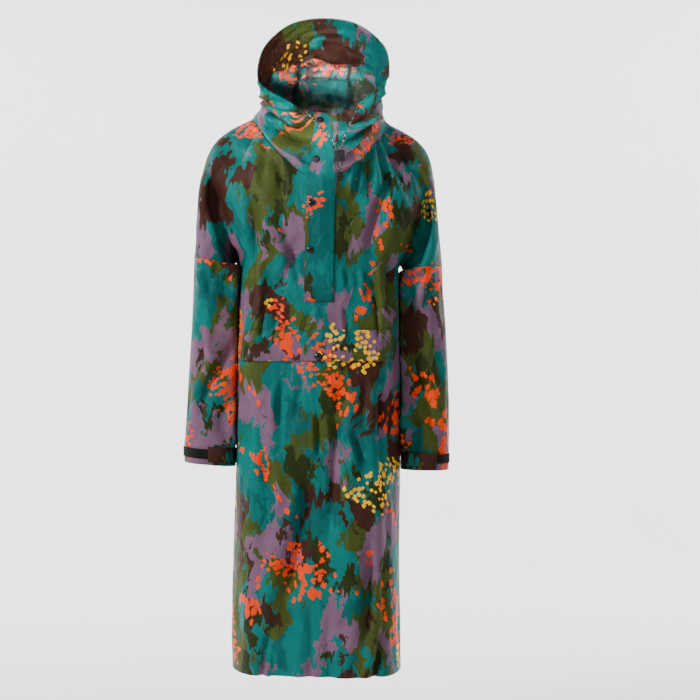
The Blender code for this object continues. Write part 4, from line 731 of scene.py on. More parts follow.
# creases of the hood, as above but through points (u, v)
hoodCreases = [
    # collar in front, on -X
    (0.01, 0.012, 0.6, "", [(0.15, 0.82), (1.2, 0.8), (2.3, 0.87), (3.2, 0.94)]),
    (0.011, 0.012, -0.6, "", [(0.1, 0.46), (0.9, 0.52), (2.0, 0.66), (3.0, 0.8)]),
    (0.01, 0.01, 0.5, "", [(0.4, 0.22), (1.3, 0.28), (2.3, 0.42), (3.3, 0.6)]),
    (0.008, 0.006, 0.5, "", [(1.4, 0.06), (2.0, 0.2), (2.9, 0.34), (3.8, 0.46)]),
    (0.007, 0.006, 0.6, "", [(1.5, 0.3), (1.72, 0.48), (1.6, 0.66)]),
    (0.007, 0.005, -0.6, "", [(0.7, 0.6), (0.9, 0.74), (0.8, 0.9)]),
    (0.008, 0.006, -0.5, "", [(2.7, 0.44), (2.9, 0.6), (2.75, 0.8)]),
    (0.012, 0.01, 0.5, "", [(3.6, 0.12), (3.75, 0.42), (3.6, 0.8)]),
    # collar in front, on +X
    (0.01, 0.012, 0.6, "", [(13.85, 0.8), (13.0, 0.78), (12.2, 0.85), (11.2, 0.94)]),
    (0.011, 0.013, -0.6, "", [(13.9, 0.5), (13.1, 0.46), (12.2, 0.58), (11.3, 0.74)]),
    (0.01, 0.01, 0.5, "", [(13.5, 0.24), (12.8, 0.22), (12.0, 0.36), (11.0, 0.54)]),
    (0.008, 0.006, -0.5, "", [(12.6, 0.06), (12.2, 0.16), (11.4, 0.28), (10.4, 0.4)]),
    (0.007, 0.007, -0.6, "", [(12.5, 0.28), (12.3, 0.42), (12.5, 0.62)]),
    (0.007, 0.005, 0.6, "", [(13.2, 0.58), (13.0, 0.7), (13.2, 0.88)]),
    (0.008, 0.006, 0.5, "", [(11.5, 0.4), (11.3, 0.58), (11.5, 0.82)]),
    (0.012, 0.01, -0.5, "", [(10.5, 0.12), (10.4, 0.42), (10.5, 0.82)]),
    # sides and back, which sag inwards in three soft folds
    (0.013, 0.01, 0.5, "", [(4.2, 0.3), (4.6, 0.55), (5.1, 0.86)]),
    (0.013, 0.01, -0.5, "", [(9.8, 0.3), (9.5, 0.55), (8.9, 0.88)]),
    (0.014, 0.012, 0.3, "", [(4.6, 0.94), (5.8, 0.91), (7.1, 0.9), (8.3, 0.91), (9.5, 0.94)]),
    (0.01, -0.004, 0.0, "", [(4.7, 0.78), (6.0, 0.76), (7.3, 0.755), (9.3, 0.79)]),
    (0.009, 0.009, 0.15, "", [(4.9, 0.54), (6.2, 0.58), (7.4, 0.585), (9.0, 0.55)]),
    (0.012, 0.008, -0.3, "", [(5.0, 0.5), (6.3, 0.46), (7.6, 0.4), (9.0, 0.5)]),
    (0.009, 0.009, 0.5, "", [(6.6, 0.3), (7.2, 0.38), (7.9, 0.52)]),
    (0.009, 0.007, -0.5, "", [(5.3, 0.3), (5.6, 0.42), (6.2, 0.52)]),
    (0.009, 0.007, 0.5, "", [(8.8, 0.28), (8.5, 0.44), (8.6, 0.6)]),
    (0.007, 0.006, 0.5, "", [(6.1, 0.66), (6.4, 0.78), (6.2, 0.9)]),
    (0.007, 0.006, -0.5, "", [(7.5, 0.64), (7.3, 0.76), (7.6, 0.9)]),
    (0.007, 0.005, 0.5, "", [(8.6, 0.68), (8.2, 0.8), (8.3, 0.92)]),
]


def hoodRelief(grid, normals, u, v, fade):
    # the creases' widths hold on a flat map of the hood
    stepU, stepV = hood["mapSteps"]
    flatMap = np.stack(np.meshgrid(u * stepU, v * stepV), axis=-1).reshape(-1, 2)
    height = 0.9 * unevenness(grid.reshape(-1, 3))
    # the drawcord gathers the face edge
    form = hood["gathers"]
    gathers = np.stack([flatMap[:, 0], flatMap[:, 1] * form["squeeze"], 0 * flatMap[:, 0]], axis=1)
    gathered = form["height"] * swirl(gathers, form["length"], form["seed"])
    height += gathered * ease(1.0 - flatMap[:, 1] / form["reach"])
    ones = np.ones(len(flatMap))
    for *form, points in hoodCreases:
        height += creaseHeight(flatMap, ones, (*form, [(a * stepU, b * stepV) for a, b in points]))
    height = height.reshape(grid.shape[:2]) * fade
    return grid + normals * height[..., None]


def finishMesh(name, verts, faces, materials, slots=None, uv=None, loopUv=None):
    data = bpy.data.meshes.new(name)
    data.from_pydata(verts.tolist() if isinstance(verts, np.ndarray) else verts, [], faces)
    for material in materials:
        data.materials.append(material)
    if slots is not None:
        data.polygons.foreach_set("material_index", np.asarray(slots, dtype=np.int32))
    if uv is not None:
        loops = np.zeros(len(data.loops), dtype=np.int32)
        data.loops.foreach_get("vertex_index", loops)
        loopUv = np.asarray(uv)[loops]
    if loopUv is not None:
        layer = data.uv_layers.new(name="cloth")
        layer.data.foreach_set("uv", np.asarray(loopUv, dtype=np.float32).ravel())
    data.polygons.foreach_set("use_smooth", np.full(len(data.polygons), True))
    data.update()
    item = bpy.data.objects.new(name, data)
    bpy.context.scene.collection.objects.link(item)
    return item


def shell(name, grid, normals, materials, cells=None, wrap=False, flip=False, lift=0.0,
          thick=cloth["thick"], uv=None):
    # closed thin cloth on the grid: outer face, inner face and rims
    if cells is None:
        cells = cellMask(grid, wrap)
    rows, width = grid.shape[:2]
    index = np.arange(rows * width).reshape(rows, width)
    i, j = np.nonzero(cells)
    k = (j + 1) % width
    quads = np.stack([index[i, j], index[i, k], index[i + 1, k], index[i + 1, j]], axis=1)
    if flip:
        quads = quads[:, ::-1]
    used = np.unique(quads)
    fresh = np.full(rows * width, -1)
    fresh[used] = np.arange(len(used))
    quads = fresh[quads]
    flat, facing = grid.reshape(-1, 3)[used], normals.reshape(-1, 3)[used]
    outer, inner = flat + facing * (lift + thick / 2), flat + facing * (lift - thick / 2)
    count = len(used)
    edges = np.concatenate([quads[:, (0, 1)], quads[:, (1, 2)], quads[:, (2, 3)], quads[:, (3, 0)]])
    key = edges[:, 0].astype(np.int64) * count + edges[:, 1]
    back = edges[:, 1].astype(np.int64) * count + edges[:, 0]
    rim = edges[~np.isin(key, back)]
    rims = np.stack([rim[:, 1], rim[:, 0], rim[:, 0] + count, rim[:, 1] + count], axis=1)
    faces = np.concatenate([quads, quads[:, ::-1] + count, rims])
    slots = np.concatenate([np.zeros(len(quads)), np.full(len(quads), 1 if len(materials) > 1 else 0),
                            np.zeros(len(rims))])
    if uv is None:
        uv = gridMap(grid)
    outerUv = np.stack([uv[i, j], uv[i, k], uv[i + 1, k], uv[i + 1, j]], axis=1)
    again = k < j
    if again.any():
        around = uv[:, -1, 0] - uv[:, 0, 0] + np.linalg.norm(grid[:, 0] - grid[:, -1], axis=1)
        outerUv[again, 1, 0] += around[i[again]]
        outerUv[again, 2, 0] += around[i[again] + 1]
    if flip:
        outerUv = outerUv[:, ::-1]
    flatUv = np.concatenate([uv.reshape(-1, 2)[used]] * 2)
    loopUv = np.concatenate([part.reshape(-1, 2) for part in (outerUv, outerUv[:, ::-1], flatUv[rims])])
    return finishMesh(name, np.concatenate([outer, inner]), faces.tolist(), materials, slots, loopUv=loopUv)


def gridMap(grid, middle=None, byColumn=True):
    # flat map of the grid in metres: across the rows from their middle, up along each column
    middle = grid.shape[1] // 2 if middle is None else middle
    stepsAcross = np.nan_to_num(np.linalg.norm(np.diff(grid, axis=1), axis=2))
    across = np.concatenate([np.zeros((len(grid), 1)), np.cumsum(stepsAcross, axis=1)], axis=1)
    across -= across[:, middle:middle + 1]
    stepsUp = np.nan_to_num(np.linalg.norm(np.diff(grid, axis=0), axis=2))
    if not byColumn:
        stepsUp = stepsUp[:, middle:middle + 1] * np.ones((1, grid.shape[1]))
    up = np.concatenate([np.zeros((1, grid.shape[1])), np.cumsum(stepsUp, axis=0)])
    return np.stack([across, up], axis=-1)


def nodeGroup(name, inputs, outputs):
    group = bpy.data.node_groups.new(name, "ShaderNodeTree")
    for label, kind, value in inputs:
        socket = group.interface.new_socket(name=label, in_out="INPUT", socket_type="NodeSocket" + kind)
        if value is not None:
            socket.default_value = value
    for label, kind in outputs:
        group.interface.new_socket(name=label, in_out="OUTPUT", socket_type="NodeSocket" + kind)
    return group, group.nodes.new("NodeGroupInput"), group.nodes.new("NodeGroupOutput")


def wire(tree, kind, inputs=None, **settings):
    # adds a node; inputs are values or sockets by name or index
    node = tree.nodes.new("ShaderNode" + kind)
    for key, value in settings.items():
        setattr(node, key, value)
    for key, value in (inputs or {}).items():
        if isinstance(value, bpy.types.NodeSocket):
            tree.links.new(value, node.inputs[key])
        else:
            node.inputs[key].default_value = value
    return node


def calculate(tree, operation, *values):
    return wire(tree, "Math", dict(enumerate(values)), operation=operation).outputs[0]


def vectorMath(tree, operation, *values):
    return wire(tree, "VectorMath", dict(enumerate(values)), operation=operation).outputs[0]


def remap(tree, value, low, high, toLow=0.0, toHigh=1.0):
    return wire(tree, "MapRange", {"Value": value, "From Min": low, "From Max": high, "To Min": toLow,
                                   "To Max": toHigh}).outputs["Result"]


def bump(tree, height, strength, distance, **under):
    inputs = {"Strength": strength, "Distance": distance, "Height": height, **under}
    return wire(tree, "Bump", inputs).outputs[0]


def blendColour(tree, mask, a, b):
    node = wire(tree, "Mix", {0: mask}, data_type="RGBA")
    for socket, value in ((node.inputs[6], a), (node.inputs[7], b)):
        if isinstance(value, bpy.types.NodeSocket):
            tree.links.new(value, socket)
        else:
            socket.default_value = (*value, 1.0)
    return node.outputs[2]


def noise(tree, place, scale, detail=3.0, rough=0.55, distort=0.0):
    return wire(tree, "TexNoise", {"Vector": place, "Scale": scale, "Detail": detail, "Roughness": rough,
                                   "Distortion": distort}, noise_dimensions="2D").outputs["Fac"]


def shifted(tree, place, offset, scale=(1.0, 1.0, 1.0), turn=0.0):
    return wire(tree, "Mapping", {"Vector": place, "Location": offset, "Scale": scale,
                                  "Rotation": (0.0, 0.0, turn)}).outputs[0]


def wander(tree, place, scale, detail, reach):
    # the place moved about by noise, by up to half the reach
    colour = wire(tree, "TexNoise", {"Vector": place, "Scale": scale, "Detail": detail},
                  noise_dimensions="2D").outputs["Color"]
    away = vectorMath(tree, "MULTIPLY", vectorMath(tree, "SUBTRACT", colour, (0.5, 0.5, 0.5)), reach)
    return vectorMath(tree, "ADD", place, away)


def objectGrain(tree, scale, detail):
    where = wire(tree, "TexCoord").outputs["Object"]
    return wire(tree, "TexNoise", {"Vector": where, "Scale": scale, "Detail": detail}).outputs["Fac"]


dyes = {
    "teal": (0.0005, 0.140, 0.126),
    "tealDeep": (0.0005, 0.098, 0.094),
    "olive": (0.052, 0.070, 0.014),
    "oliveDeep": (0.022, 0.030, 0.008),
    "mauve": (0.165, 0.090, 0.145),
    "brown": (0.046, 0.018, 0.012),
    "orange": (0.900, 0.048, 0.0005),
    "yellow": (1.000, 0.500, 0.0005),
}


printStyle = {
    # levels over which each colour shows, all inputs of the group
    "levels": {"Olive": 0.54, "Mauve": 0.58, "Brown": 0.60, "Strokes": 0.61, "Lozenges": 0.65},
    # blotches from the lowest up: dye, place in the noise, scale, level
    "patches": [
        ("tealDeep", (3.1, 7.7, 0.0), 8.0, 0.55),
        ("olive", (11.3, 2.9, 0.0), 8.0, "Olive"),
        ("oliveDeep", (5.9, 14.1, 0.0), 9.6, 0.62),
        ("mauve", (21.7, 6.1, 0.0), 9.0, "Mauve"),
        ("brown", (2.3, 31.9, 0.0), 7.2, "Brown"),
    ],
    # scale, detail and reach of the blotches' ragged edges and of the strokes' wobble
    "ragged": (38.0, 2.5, (0.034, 0.026, 0.0)),
    "wobble": (120.0, 1.0, (0.009, 0.009, 0.0)),
    "motifs": [
        dict(dye="orange", level="Strokes", cells=84.0, away=(1.7, 4.3, 0.0), stretch=(1.0, 0.62), turn=0.5,
             size=0.26, largest=0.62, flights=5.0, flightAt=(3.0, 5.0, 0.0), metric="EUCLIDEAN"),
        dict(dye="orange", level="Strokes", cells=118.0, away=(7.1, 3.7, 0.0), stretch=(0.62, 1.0), turn=-0.4,
             size=0.30, largest=0.62, flights=5.0, flightAt=(3.0, 5.0, 0.0), metric="EUCLIDEAN"),
        dict(dye="yellow", level="Lozenges", cells=104.0, away=(9.2, 8.8, 0.0), stretch=(0.9, 0.9), turn=0.3,
             size=0.36, largest=0.46, flights=4.6, flightAt=(13.0, 2.0, 0.0), metric="MINKOWSKI"),
    ],
}


def motifMask(group, place, level, motif):
    # one motif to a cell, where the noise is over the level
    wide, high = motif["stretch"]
    laid = shifted(group, place, motif["away"], (wide, high, 1.0), motif["turn"])
    cells = wire(group, "TexVoronoi", {"Vector": laid, "Scale": motif["cells"], "Randomness": 0.9},
                 voronoi_dimensions="2D", distance=motif["metric"])
    if motif["metric"] == "MINKOWSKI":
        cells.inputs["Exponent"].default_value = 1.4
    centre = shifted(group, cells.outputs["Position"], (0.0, 0.0, 0.0), (1 / wide, 1 / high, 1.0))
    spread = noise(group, shifted(group, centre, motif["flightAt"]), motif["flights"], 2.0, 0.55)
    over = calculate(group, "SUBTRACT", spread, level)
    lot = wire(group, "SeparateColor", {0: cells.outputs["Color"]}).outputs
    # motifs grow towards the middle of a flight and run together there
    reach = calculate(group, "MULTIPLY_ADD", over, 3.2, motif["size"])
    reach = calculate(group, "MINIMUM", reach, motif["largest"])
    reach = calculate(group, "MULTIPLY", reach, calculate(group, "MULTIPLY_ADD", lot[1], 0.5, 0.72))
    mask = remap(group, calculate(group, "SUBTRACT", reach, cells.outputs["Distance"]), 0.0, 0.04)
    edge = calculate(group, "GREATER_THAN", over, calculate(group, "MULTIPLY", lot[2], 0.05))
    keep = calculate(group, "GREATER_THAN", lot[0], 0.266667)
    return calculate(group, "MULTIPLY", calculate(group, "MULTIPLY", mask, edge), keep)


def printGroup():
    # blotches with ragged edges, loose flights of short strokes and bunches of small lozenges
    levels = [(label, "Float", value) for label, value in printStyle["levels"].items()]
    group, given, made = nodeGroup("clothPrint", [("Place", "Vector", None), *levels], [("Colour", "Color")])
    place = given.outputs["Place"]
    rough = wander(group, place, *printStyle["ragged"])
    comb = noise(group, shifted(group, place, (0.7, 0.4, 0.0), (1.0, 0.14, 1.0)), 95.0, 2.0, 0.6)
    comb = calculate(group, "MULTIPLY", calculate(group, "SUBTRACT", comb, 0.5), 0.055)
    rough = vectorMath(group, "ADD", rough, wire(group, "CombineXYZ", {1: comb}).outputs[0])
    colour = dyes["teal"]
    for dye, away, scale, level in printStyle["patches"]:
        field = noise(group, shifted(group, rough, away, (1.0, 0.72, 1.0)), scale, 3.5, 0.60, 0.2)
        low = given.outputs[level] if isinstance(level, str) else level
        mask = remap(group, field, low, calculate(group, "ADD", low, 0.004))
        colour = blendColour(group, mask, colour, dyes[dye])
    bent = wander(group, place, *printStyle["wobble"])
    for motif in printStyle["motifs"]:
        # lozenges stay straight
        origin = place if motif["metric"] == "MINKOWSKI" else bent
        mask = motifMask(group, origin, given.outputs[motif["level"]], motif)
        colour = blendColour(group, mask, colour, dyes[motif["dye"]])
    group.links.new(colour, made.inputs["Colour"])
    return group


def sineWave(tree, place, axis="X", **inputs):
    return wire(tree, "TexWave", {"Vector": place, **inputs}, wave_type="BANDS", bands_direction=axis,
                wave_profile="SIN").outputs["Fac"]


def weaveGroup():
    # fine creases and the weave as heights, with a soft variation for gloss
    group, given, made = nodeGroup("clothWeave", [("Place", "Vector", None)],
                                   [("Height", "Float"), ("Weave", "Float"), ("Shade", "Float")])
    place = given.outputs["Place"]
    wide = noise(group, shifted(group, place, (4.0, 9.0, 0.0), (1.0, 0.55, 1.0)), 42.0, 3.0, 0.55, 0.8)
    fine = noise(group, shifted(group, place, (8.0, 1.0, 0.0)), 150.0, 2.0, 0.5, 0.4)
    fold, ridge = (calculate(group, "ABSOLUTE", calculate(group, "SUBTRACT", field, 0.5))
                   for field in (wide, fine))
    threads = [sineWave(group, place, axis, Scale=230.0, Distortion=0.6, Detail=1.0) for axis in ("X", "Y")]
    shade = noise(group, shifted(group, place, (2.0, 5.0, 0.0)), 16.0, 3.0, 0.6)
    group.links.new(calculate(group, "MULTIPLY_ADD", ridge, 0.22, fold), made.inputs["Height"])
    group.links.new(calculate(group, "MULTIPLY", *threads), made.inputs["Weave"])
    group.links.new(shade, made.inputs["Shade"])
    return group


groups = {"print": printGroup(), "weave": weaveGroup()}


def freshMaterial(name, roughness=0.5, specular=0.5):
    material = bpy.data.materials.new(name)
    material.use_nodes = True
    shader = material.node_tree.nodes["Principled BSDF"]
    shader.inputs["Roughness"].default_value = roughness
    shader.inputs["Specular IOR Level"].default_value = specular
    return material, material.node_tree, shader


# the inside carries a glossier coating that lets the print through a little paler
clothLook = {
    "outside": dict(specular=0.07, gloss=(0.38, 0.54), creases=0.0034),
    "inside": dict(specular=0.45, gloss=(0.16, 0.30), creases=0.0048),
    "coating": (0.46, 0.52, 0.58),
    "coatingShare": 0.05,
    "shades": (0.3, 0.7),
    "fade": (0.86, 1.12),
    "weave": (0.25, 0.0002),
}


def clothMaterial(name, origin=(0.0, 0.0), levels=None, inside=False, shade=1.0):
    look = clothLook["inside" if inside else "outside"]
    material, tree, shader = freshMaterial(name, 0.45, look["specular"])
    place = shifted(tree, wire(tree, "UVMap", uv_map="cloth").outputs[0], (*origin, 0.0))
    pattern = wire(tree, "Group", node_tree=groups["print"])
    tree.links.new(place, pattern.inputs["Place"])
    for label, value in (levels or {}).items():
        pattern.inputs[label].default_value = value
    weave = wire(tree, "Group", node_tree=groups["weave"])
    tree.links.new(place, weave.inputs["Place"])
    colour = pattern.outputs["Colour"]
    if inside:
        colour = blendColour(tree, clothLook["coatingShare"], colour, clothLook["coating"])
    # a shade under 1 darkens the whole piece's colour, a painted shade
    fades = [value * shade for value in clothLook["fade"]]
    fade = remap(tree, weave.outputs["Shade"], *clothLook["shades"], *fades)
    tinted = wire(tree, "VectorMath", {0: colour, "Scale": fade}, operation="SCALE").outputs[0]
    gloss = remap(tree, weave.outputs["Shade"], *clothLook["shades"], *look["gloss"])
    soft = bump(tree, weave.outputs["Height"], 1.0, look["creases"])
    fine = bump(tree, weave.outputs["Weave"], *clothLook["weave"], Normal=soft)
    tree.links.new(tinted, shader.inputs["Base Color"])
    tree.links.new(gloss, shader.inputs["Roughness"])
    tree.links.new(fine, shader.inputs["Normal"])
    return material


def plasticMaterial():
    material, tree, shader = freshMaterial("blackPlastic", 0.20, 0.35)
    grain = objectGrain(tree, 260.0, 3.0)
    colour = blendColour(tree, grain, (0.006, 0.006, 0.007), (0.014, 0.014, 0.015))
    tree.links.new(colour, shader.inputs["Base Color"])
    tree.links.new(remap(tree, grain, 0.0, 1.0, 0.15, 0.28), shader.inputs["Roughness"])
    tree.links.new(bump(tree, grain, 0.08, 0.0003), shader.inputs["Normal"])
    return material


def plainMaterial(name, first, second, scale, roughness, bumpDepth):
    material, tree, shader = freshMaterial(name, roughness, 0.2)
    grain = objectGrain(tree, scale, 4.0)
    tree.links.new(blendColour(tree, grain, first, second), shader.inputs["Base Color"])
    tree.links.new(bump(tree, grain, 0.7, bumpDepth), shader.inputs["Normal"])
    return material


def braidMaterial():
    # black braid with pale flecks that run round the cord
    material, tree, shader = freshMaterial("cordBraid", 0.62)
    place = wire(tree, "UVMap", uv_map="cloth").outputs[0]
    waves = [sineWave(tree, shifted(tree, place, (0.0, 0.0, 0.0), turn=turn), Scale=190.0)
             for turn in (0.9, -0.9)]
    cells = wire(tree, "TexVoronoi", {"Vector": shifted(tree, place, (0.3, 0.2, 0.0), (1.0, 0.7, 1.0), 0.8),
                                      "Scale": 560.0}, voronoi_dimensions="2D")
    lot = wire(tree, "SeparateColor", {0: cells.outputs["Color"]})
    fleck = calculate(tree, "GREATER_THAN", lot.outputs[0], 0.80)
    near = calculate(tree, "LESS_THAN", cells.outputs["Distance"], 0.55)
    mask = calculate(tree, "MULTIPLY", fleck, near)
    colour = blendColour(tree, mask, (0.010, 0.010, 0.012), (0.62, 0.60, 0.62))
    tree.links.new(colour, shader.inputs["Base Color"])
    tree.links.new(bump(tree, calculate(tree, "MAXIMUM", *waves), 0.8, 0.0006), shader.inputs["Normal"])
    return material


def makeMaterials():
    dark = {"Olive": 0.48, "Mauve": 0.66, "Brown": 0.46, "Strokes": 0.70, "Lozenges": 0.70}
    return {
        "front": clothMaterial("clothFront", (3.37, 1.52)),
        "back": clothMaterial("clothBack", (8.10, 4.46)),
        "sleeveRight": clothMaterial("clothSleeveRight", (5.62, 7.31), {"Mauve": 0.55}),
        "sleeveLeft": clothMaterial("clothSleeveLeft", (1.29, 9.64), {"Mauve": 0.56, "Olive": 0.52}),
        "hood": clothMaterial("clothHood", (6.45, 2.83), {"Strokes": 0.64}),
        "hoodCenter": clothMaterial("clothHoodCenter", (9.15, 5.77), dark),
        # the facing's colour is darkened to 0.8 as painted shade for the hollow inside the hood's face edge
        "facing": clothMaterial("clothFacing", (2.61, 6.93), dark, shade=0.8),
        "placket": clothMaterial("clothPlacket", (4.23, 3.78), {"Strokes": 0.60}),
        "flap": clothMaterial("clothFlap", (7.93, 1.06), {"Olive": 0.51, "Mauve": 0.53, "Lozenges": 0.60}),
        "tab": clothMaterial("clothTab", (1.84, 2.22), dark),
        "inside": clothMaterial("clothInside", (6.45, 2.83), inside=True),
        "plastic": plasticMaterial(),
        "hook": plainMaterial("hookTape", (0.001, 0.001, 0.0015), (0.008, 0.008, 0.009), 900.0, 0.85, 0.0006),
        "seamTape": plainMaterial("seamTape", (0.008, 0.024, 0.024), (0.02, 0.044, 0.044), 120.0, 0.35,
                                  0.0003),
        "thread": plainMaterial("thread", (0.012, 0.04, 0.036), (0.03, 0.075, 0.066), 700.0, 0.55, 0.0002),
        "metal": plainMaterial("stopperRing", (0.30, 0.30, 0.31), (0.42, 0.42, 0.43), 300.0, 0.30, 0.0001),
        "braid": braidMaterial(),
    }


materials = makeMaterials()
print("materials ready")

stage = {
    "camera": {"place": (0.0, -3.2, -0.473), "lens": 76.5, "sensor": 36.0, "shiftX": 0.047},
    "world": 0.11,
    # name, place, aim, size, power and spread in degrees
    "lamps": [
        ("keyLamp", (-2.3, -1.9, 1.0), (0.0, 0.0, -0.5), (0.5, 0.5), 112.0, 180.0),
        ("fillLamp", (1.3, -3.1, -0.3), (0.0, 0.0, -0.6), (1.0, 1.4), 9.0, 180.0),
        ("hoodLamp", (-0.15, -1.7, -0.45), (0.01, 0.0, 0.13), (0.3, 0.3), 0.6, 9.0),
        ("topLamp", (0.2, -1.2, 1.9), (0.0, 0.0, -0.1), (1.0, 1.0), 14.0, 180.0),
        ("wallLampLeft", (-3.2, 1.6, 1.6), (-0.6, 4.6, -0.2), (1.6, 2.2), 290.0, 180.0),
        ("wallLampRight", (3.2, 1.6, 1.6), (0.6, 4.6, -0.2), (1.6, 2.2), 290.0, 180.0),
        ("floorLamp", (0.0, 1.9, 1.9), (0.0, 2.6, -1.4), (3.0, 1.0), 120.0, 180.0),
    ],
    "backdrop": {"floor": -1.42, "front": -5.0, "back": 3.0, "bend": 1.5, "height": 3.5, "half": 5.0,
                 "steps": 24},
}


def placed(name, data, place, turn):
    item = bpy.data.objects.new(name, data)
    item.location = place
    item.rotation_euler = turn
    bpy.context.scene.collection.objects.link(item)
    return item


def backdrop():
    # paper that runs up behind in one bend
    form = stage["backdrop"]
    floor, back, bend = form["floor"], form["back"], form["bend"]
    profile = [(form["front"], floor)]
    for turn in np.arange(form["steps"] + 1) * (math.pi / 2 / form["steps"]):
        profile.append((back + bend * math.sin(turn), floor + bend * (1 - math.cos(turn))))
    profile.append((back + bend, floor + form["height"]))
    verts = [(x, y, z) for y, z in profile for x in (-form["half"], form["half"])]
    faces = [(2 * i, 2 * i + 1, 2 * i + 3, 2 * i + 2) for i in range(len(profile) - 1)]
    paper, tree, shader = freshMaterial("paper", 0.9, 0.1)
    colour = blendColour(tree, objectGrain(tree, 3.0, 2.0), (0.86, 0.86, 0.86), (0.90, 0.90, 0.90))
    tree.links.new(colour, shader.inputs["Base Color"])
    return finishMesh("floor", verts, faces, [paper])


def makeStage():
    view = stage["camera"]
    lens = bpy.data.cameras.new("camera")
    lens.lens = view["lens"]
    lens.sensor_width = view["sensor"]
    lens.shift_x = view["shiftX"]
    bpy.context.scene.camera = placed("camera", lens, view["place"], (math.pi / 2, 0.0, 0.0))
    world = bpy.data.worlds.new("studio")
    world.use_nodes = True
    sky = world.node_tree.nodes["Background"]
    sky.inputs["Color"].default_value = (1.0, 1.0, 1.0, 1.0)
    sky.inputs["Strength"].default_value = stage["world"]
    bpy.context.scene.world = world
    for name, place, aim, size, power, spread in stage["lamps"]:
        light = bpy.data.lights.new(name, "AREA")
        light.shape = "RECTANGLE"
        light.size, light.size_y = size
        light.energy = power
        light.spread = math.radians(spread)
        placed(name, light, place, (Vector(aim) - Vector(place)).to_track_quat("-Z", "Y").to_euler())
    backdrop()


makeStage()
print("stage ready")


def addPiece(piece, slotName, *nodes):
    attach(piece, "root")
    if nodes:
        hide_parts(*nodes)
    return piece


def ringFaces(first, second, sides):
    # faces between two rings of a tube, given the index of the first point of each
    return [(first + j, first + (j + 1) % sides, second + (j + 1) % sides, second + j) for j in range(sides)]


def sweepTube(name, path, radius, sides, material):
    # tube along the path with capped ends, mapped in metres round and along
    path = np.asarray(path, float)
    ways = unit(np.gradient(path, axis=0))
    side = unit(np.cross(ways[0], (0.0, 0.0, 1.0)) if abs(ways[0][2]) < 0.9 else np.array([1.0, 0.0, 0.0]))
    lengths = lengthsAlong(path)
    radii = np.broadcast_to(radius, len(path))
    turns = np.linspace(0, 2 * np.pi, sides, endpoint=False)
    verts, uv = [], []
    for k, (point, way) in enumerate(zip(path, ways)):
        side = unit(side - way * np.dot(side, way))
        other = np.cross(way, side)
        for turn in turns:
            verts.append(point + radii[k] * (math.cos(turn) * side + math.sin(turn) * other))
            uv.append((lengths[k], radii[k] * turn))
    faces = []
    for i in range(len(path) - 1):
        faces += ringFaces(i * sides, (i + 1) * sides, sides)
    faces.append(tuple(range(sides))[::-1])
    faces.append(tuple((len(path) - 1) * sides + j for j in range(sides)))
    return finishMesh(name, np.array(verts), faces, [material], uv=uv)


cord = {
    "radius": 0.00175,
    "sides": 12,
    "step": 0.0022,
    "length": {"right": 0.158, "left": 0.154},
    "lock": (0.0463, -0.1496, -0.0748),
    "lockSize": (0.0230, 0.0120, 0.0230),
    "holeOff": 0.0055,
    "lead": 0.0050,
    "stopper": (0.0466, -0.1465, -0.1165),
    "stopperSize": (0.0095, 0.0080, 0.0205),
    "tailOff": 0.00225,
    "tailGap": 0.0003,
    "exit": {
        "right": [(-0.0224, -0.1206, 0.0180), (-0.0222, -0.1240, 0.0202)],
        "left": [(0.0827, -0.1139, 0.0289), (0.0822, -0.1174, 0.0310)],
    },
    "way": {
        "right": [(-0.0170, -0.1305, 0.0135), (-0.0060, -0.1345, 0.0010), (0.0060, -0.1400, -0.0130),
                  (0.0220, -0.1445, -0.0310)],
        "left": [(0.0795, -0.1260, 0.0180), (0.0715, -0.1330, 0.0020), (0.0635, -0.1395, -0.0160),
                 (0.0570, -0.1445, -0.0340)],
    },
}


def cordRoute(label, hand):
    # out of the eyelet, through the lock and down into the stopper
    lock, half = cord["lock"], cord["lockSize"][2] / 2
    top, foot = lock[2] + half, lock[2] - half
    x = lock[0] + hand * cord["holeOff"]
    endX, endY = cord["stopper"][0] + hand * cord["tailOff"], cord["stopper"][1]
    endZ = cord["stopper"][2] + cord["stopperSize"][2] / 2 + cord["tailGap"]
    return [*cord["exit"][label], *cord["way"][label],
            (x, lock[1], top + cord["lead"]), (x, lock[1], top), (x, lock[1], foot),
            (x, lock[1], foot - cord["lead"]), (endX, endY, endZ + cord["lead"]), (endX, endY, endZ)]


cordPieces = {}
for label, hand in (("right", -1), ("left", 1)):
    route = cordRoute(label, hand)
    path = evenRun(route, int(round(lengthsAlong(route)[-1] / cord["step"])) + 1)
    piece = sweepTube("cord_" + label + "_braid", path, cord["radius"], cord["sides"], materials["braid"])
    cordPieces[label] = (addPiece(piece, "cord_braid", "cord_" + label), path)
print("cords ready")


def frameAt(normal):
    normal = unit(np.asarray(normal, float))
    side = unit(np.cross((0.0, 0.0, 1.0), normal))
    return side, np.cross(normal, side), normal


def turned(name, profile, centre, normal, material, sides=40):
    # solid of revolution round the normal; the profile holds (radius, height), ends on the axis are joined
    side, other, up = frameAt(normal)
    rings, verts, faces = [], [], []
    for radius, height in profile:
        if radius < 1e-6:
            rings.append([len(verts)])
            verts.append(np.asarray(centre) + up * height)
            continue
        rings.append(list(range(len(verts), len(verts) + sides)))
        for k in range(sides):
            turn = 2 * math.pi * k / sides
            verts.append(np.asarray(centre) + up * height
                         + radius * (math.cos(turn) * side + math.sin(turn) * other))
    for low, high in zip(rings, rings[1:]):
        for k in range(sides):
            n = (k + 1) % sides
            if len(low) == 1 and len(high) > 1:
                faces.append((low[0], high[k], high[n])[::-1])
            elif len(high) == 1 and len(low) > 1:
                faces.append((low[k], low[n], high[0]))
            elif len(low) > 1:
                faces.append((low[k], low[n], high[n], high[k]))
    if len(rings[0]) > 1 and len(rings[-1]) > 1:
        faces += ringFaces(rings[-1][0], rings[0][0], sides)
    return finishMesh(name, np.array(verts), faces, [material])


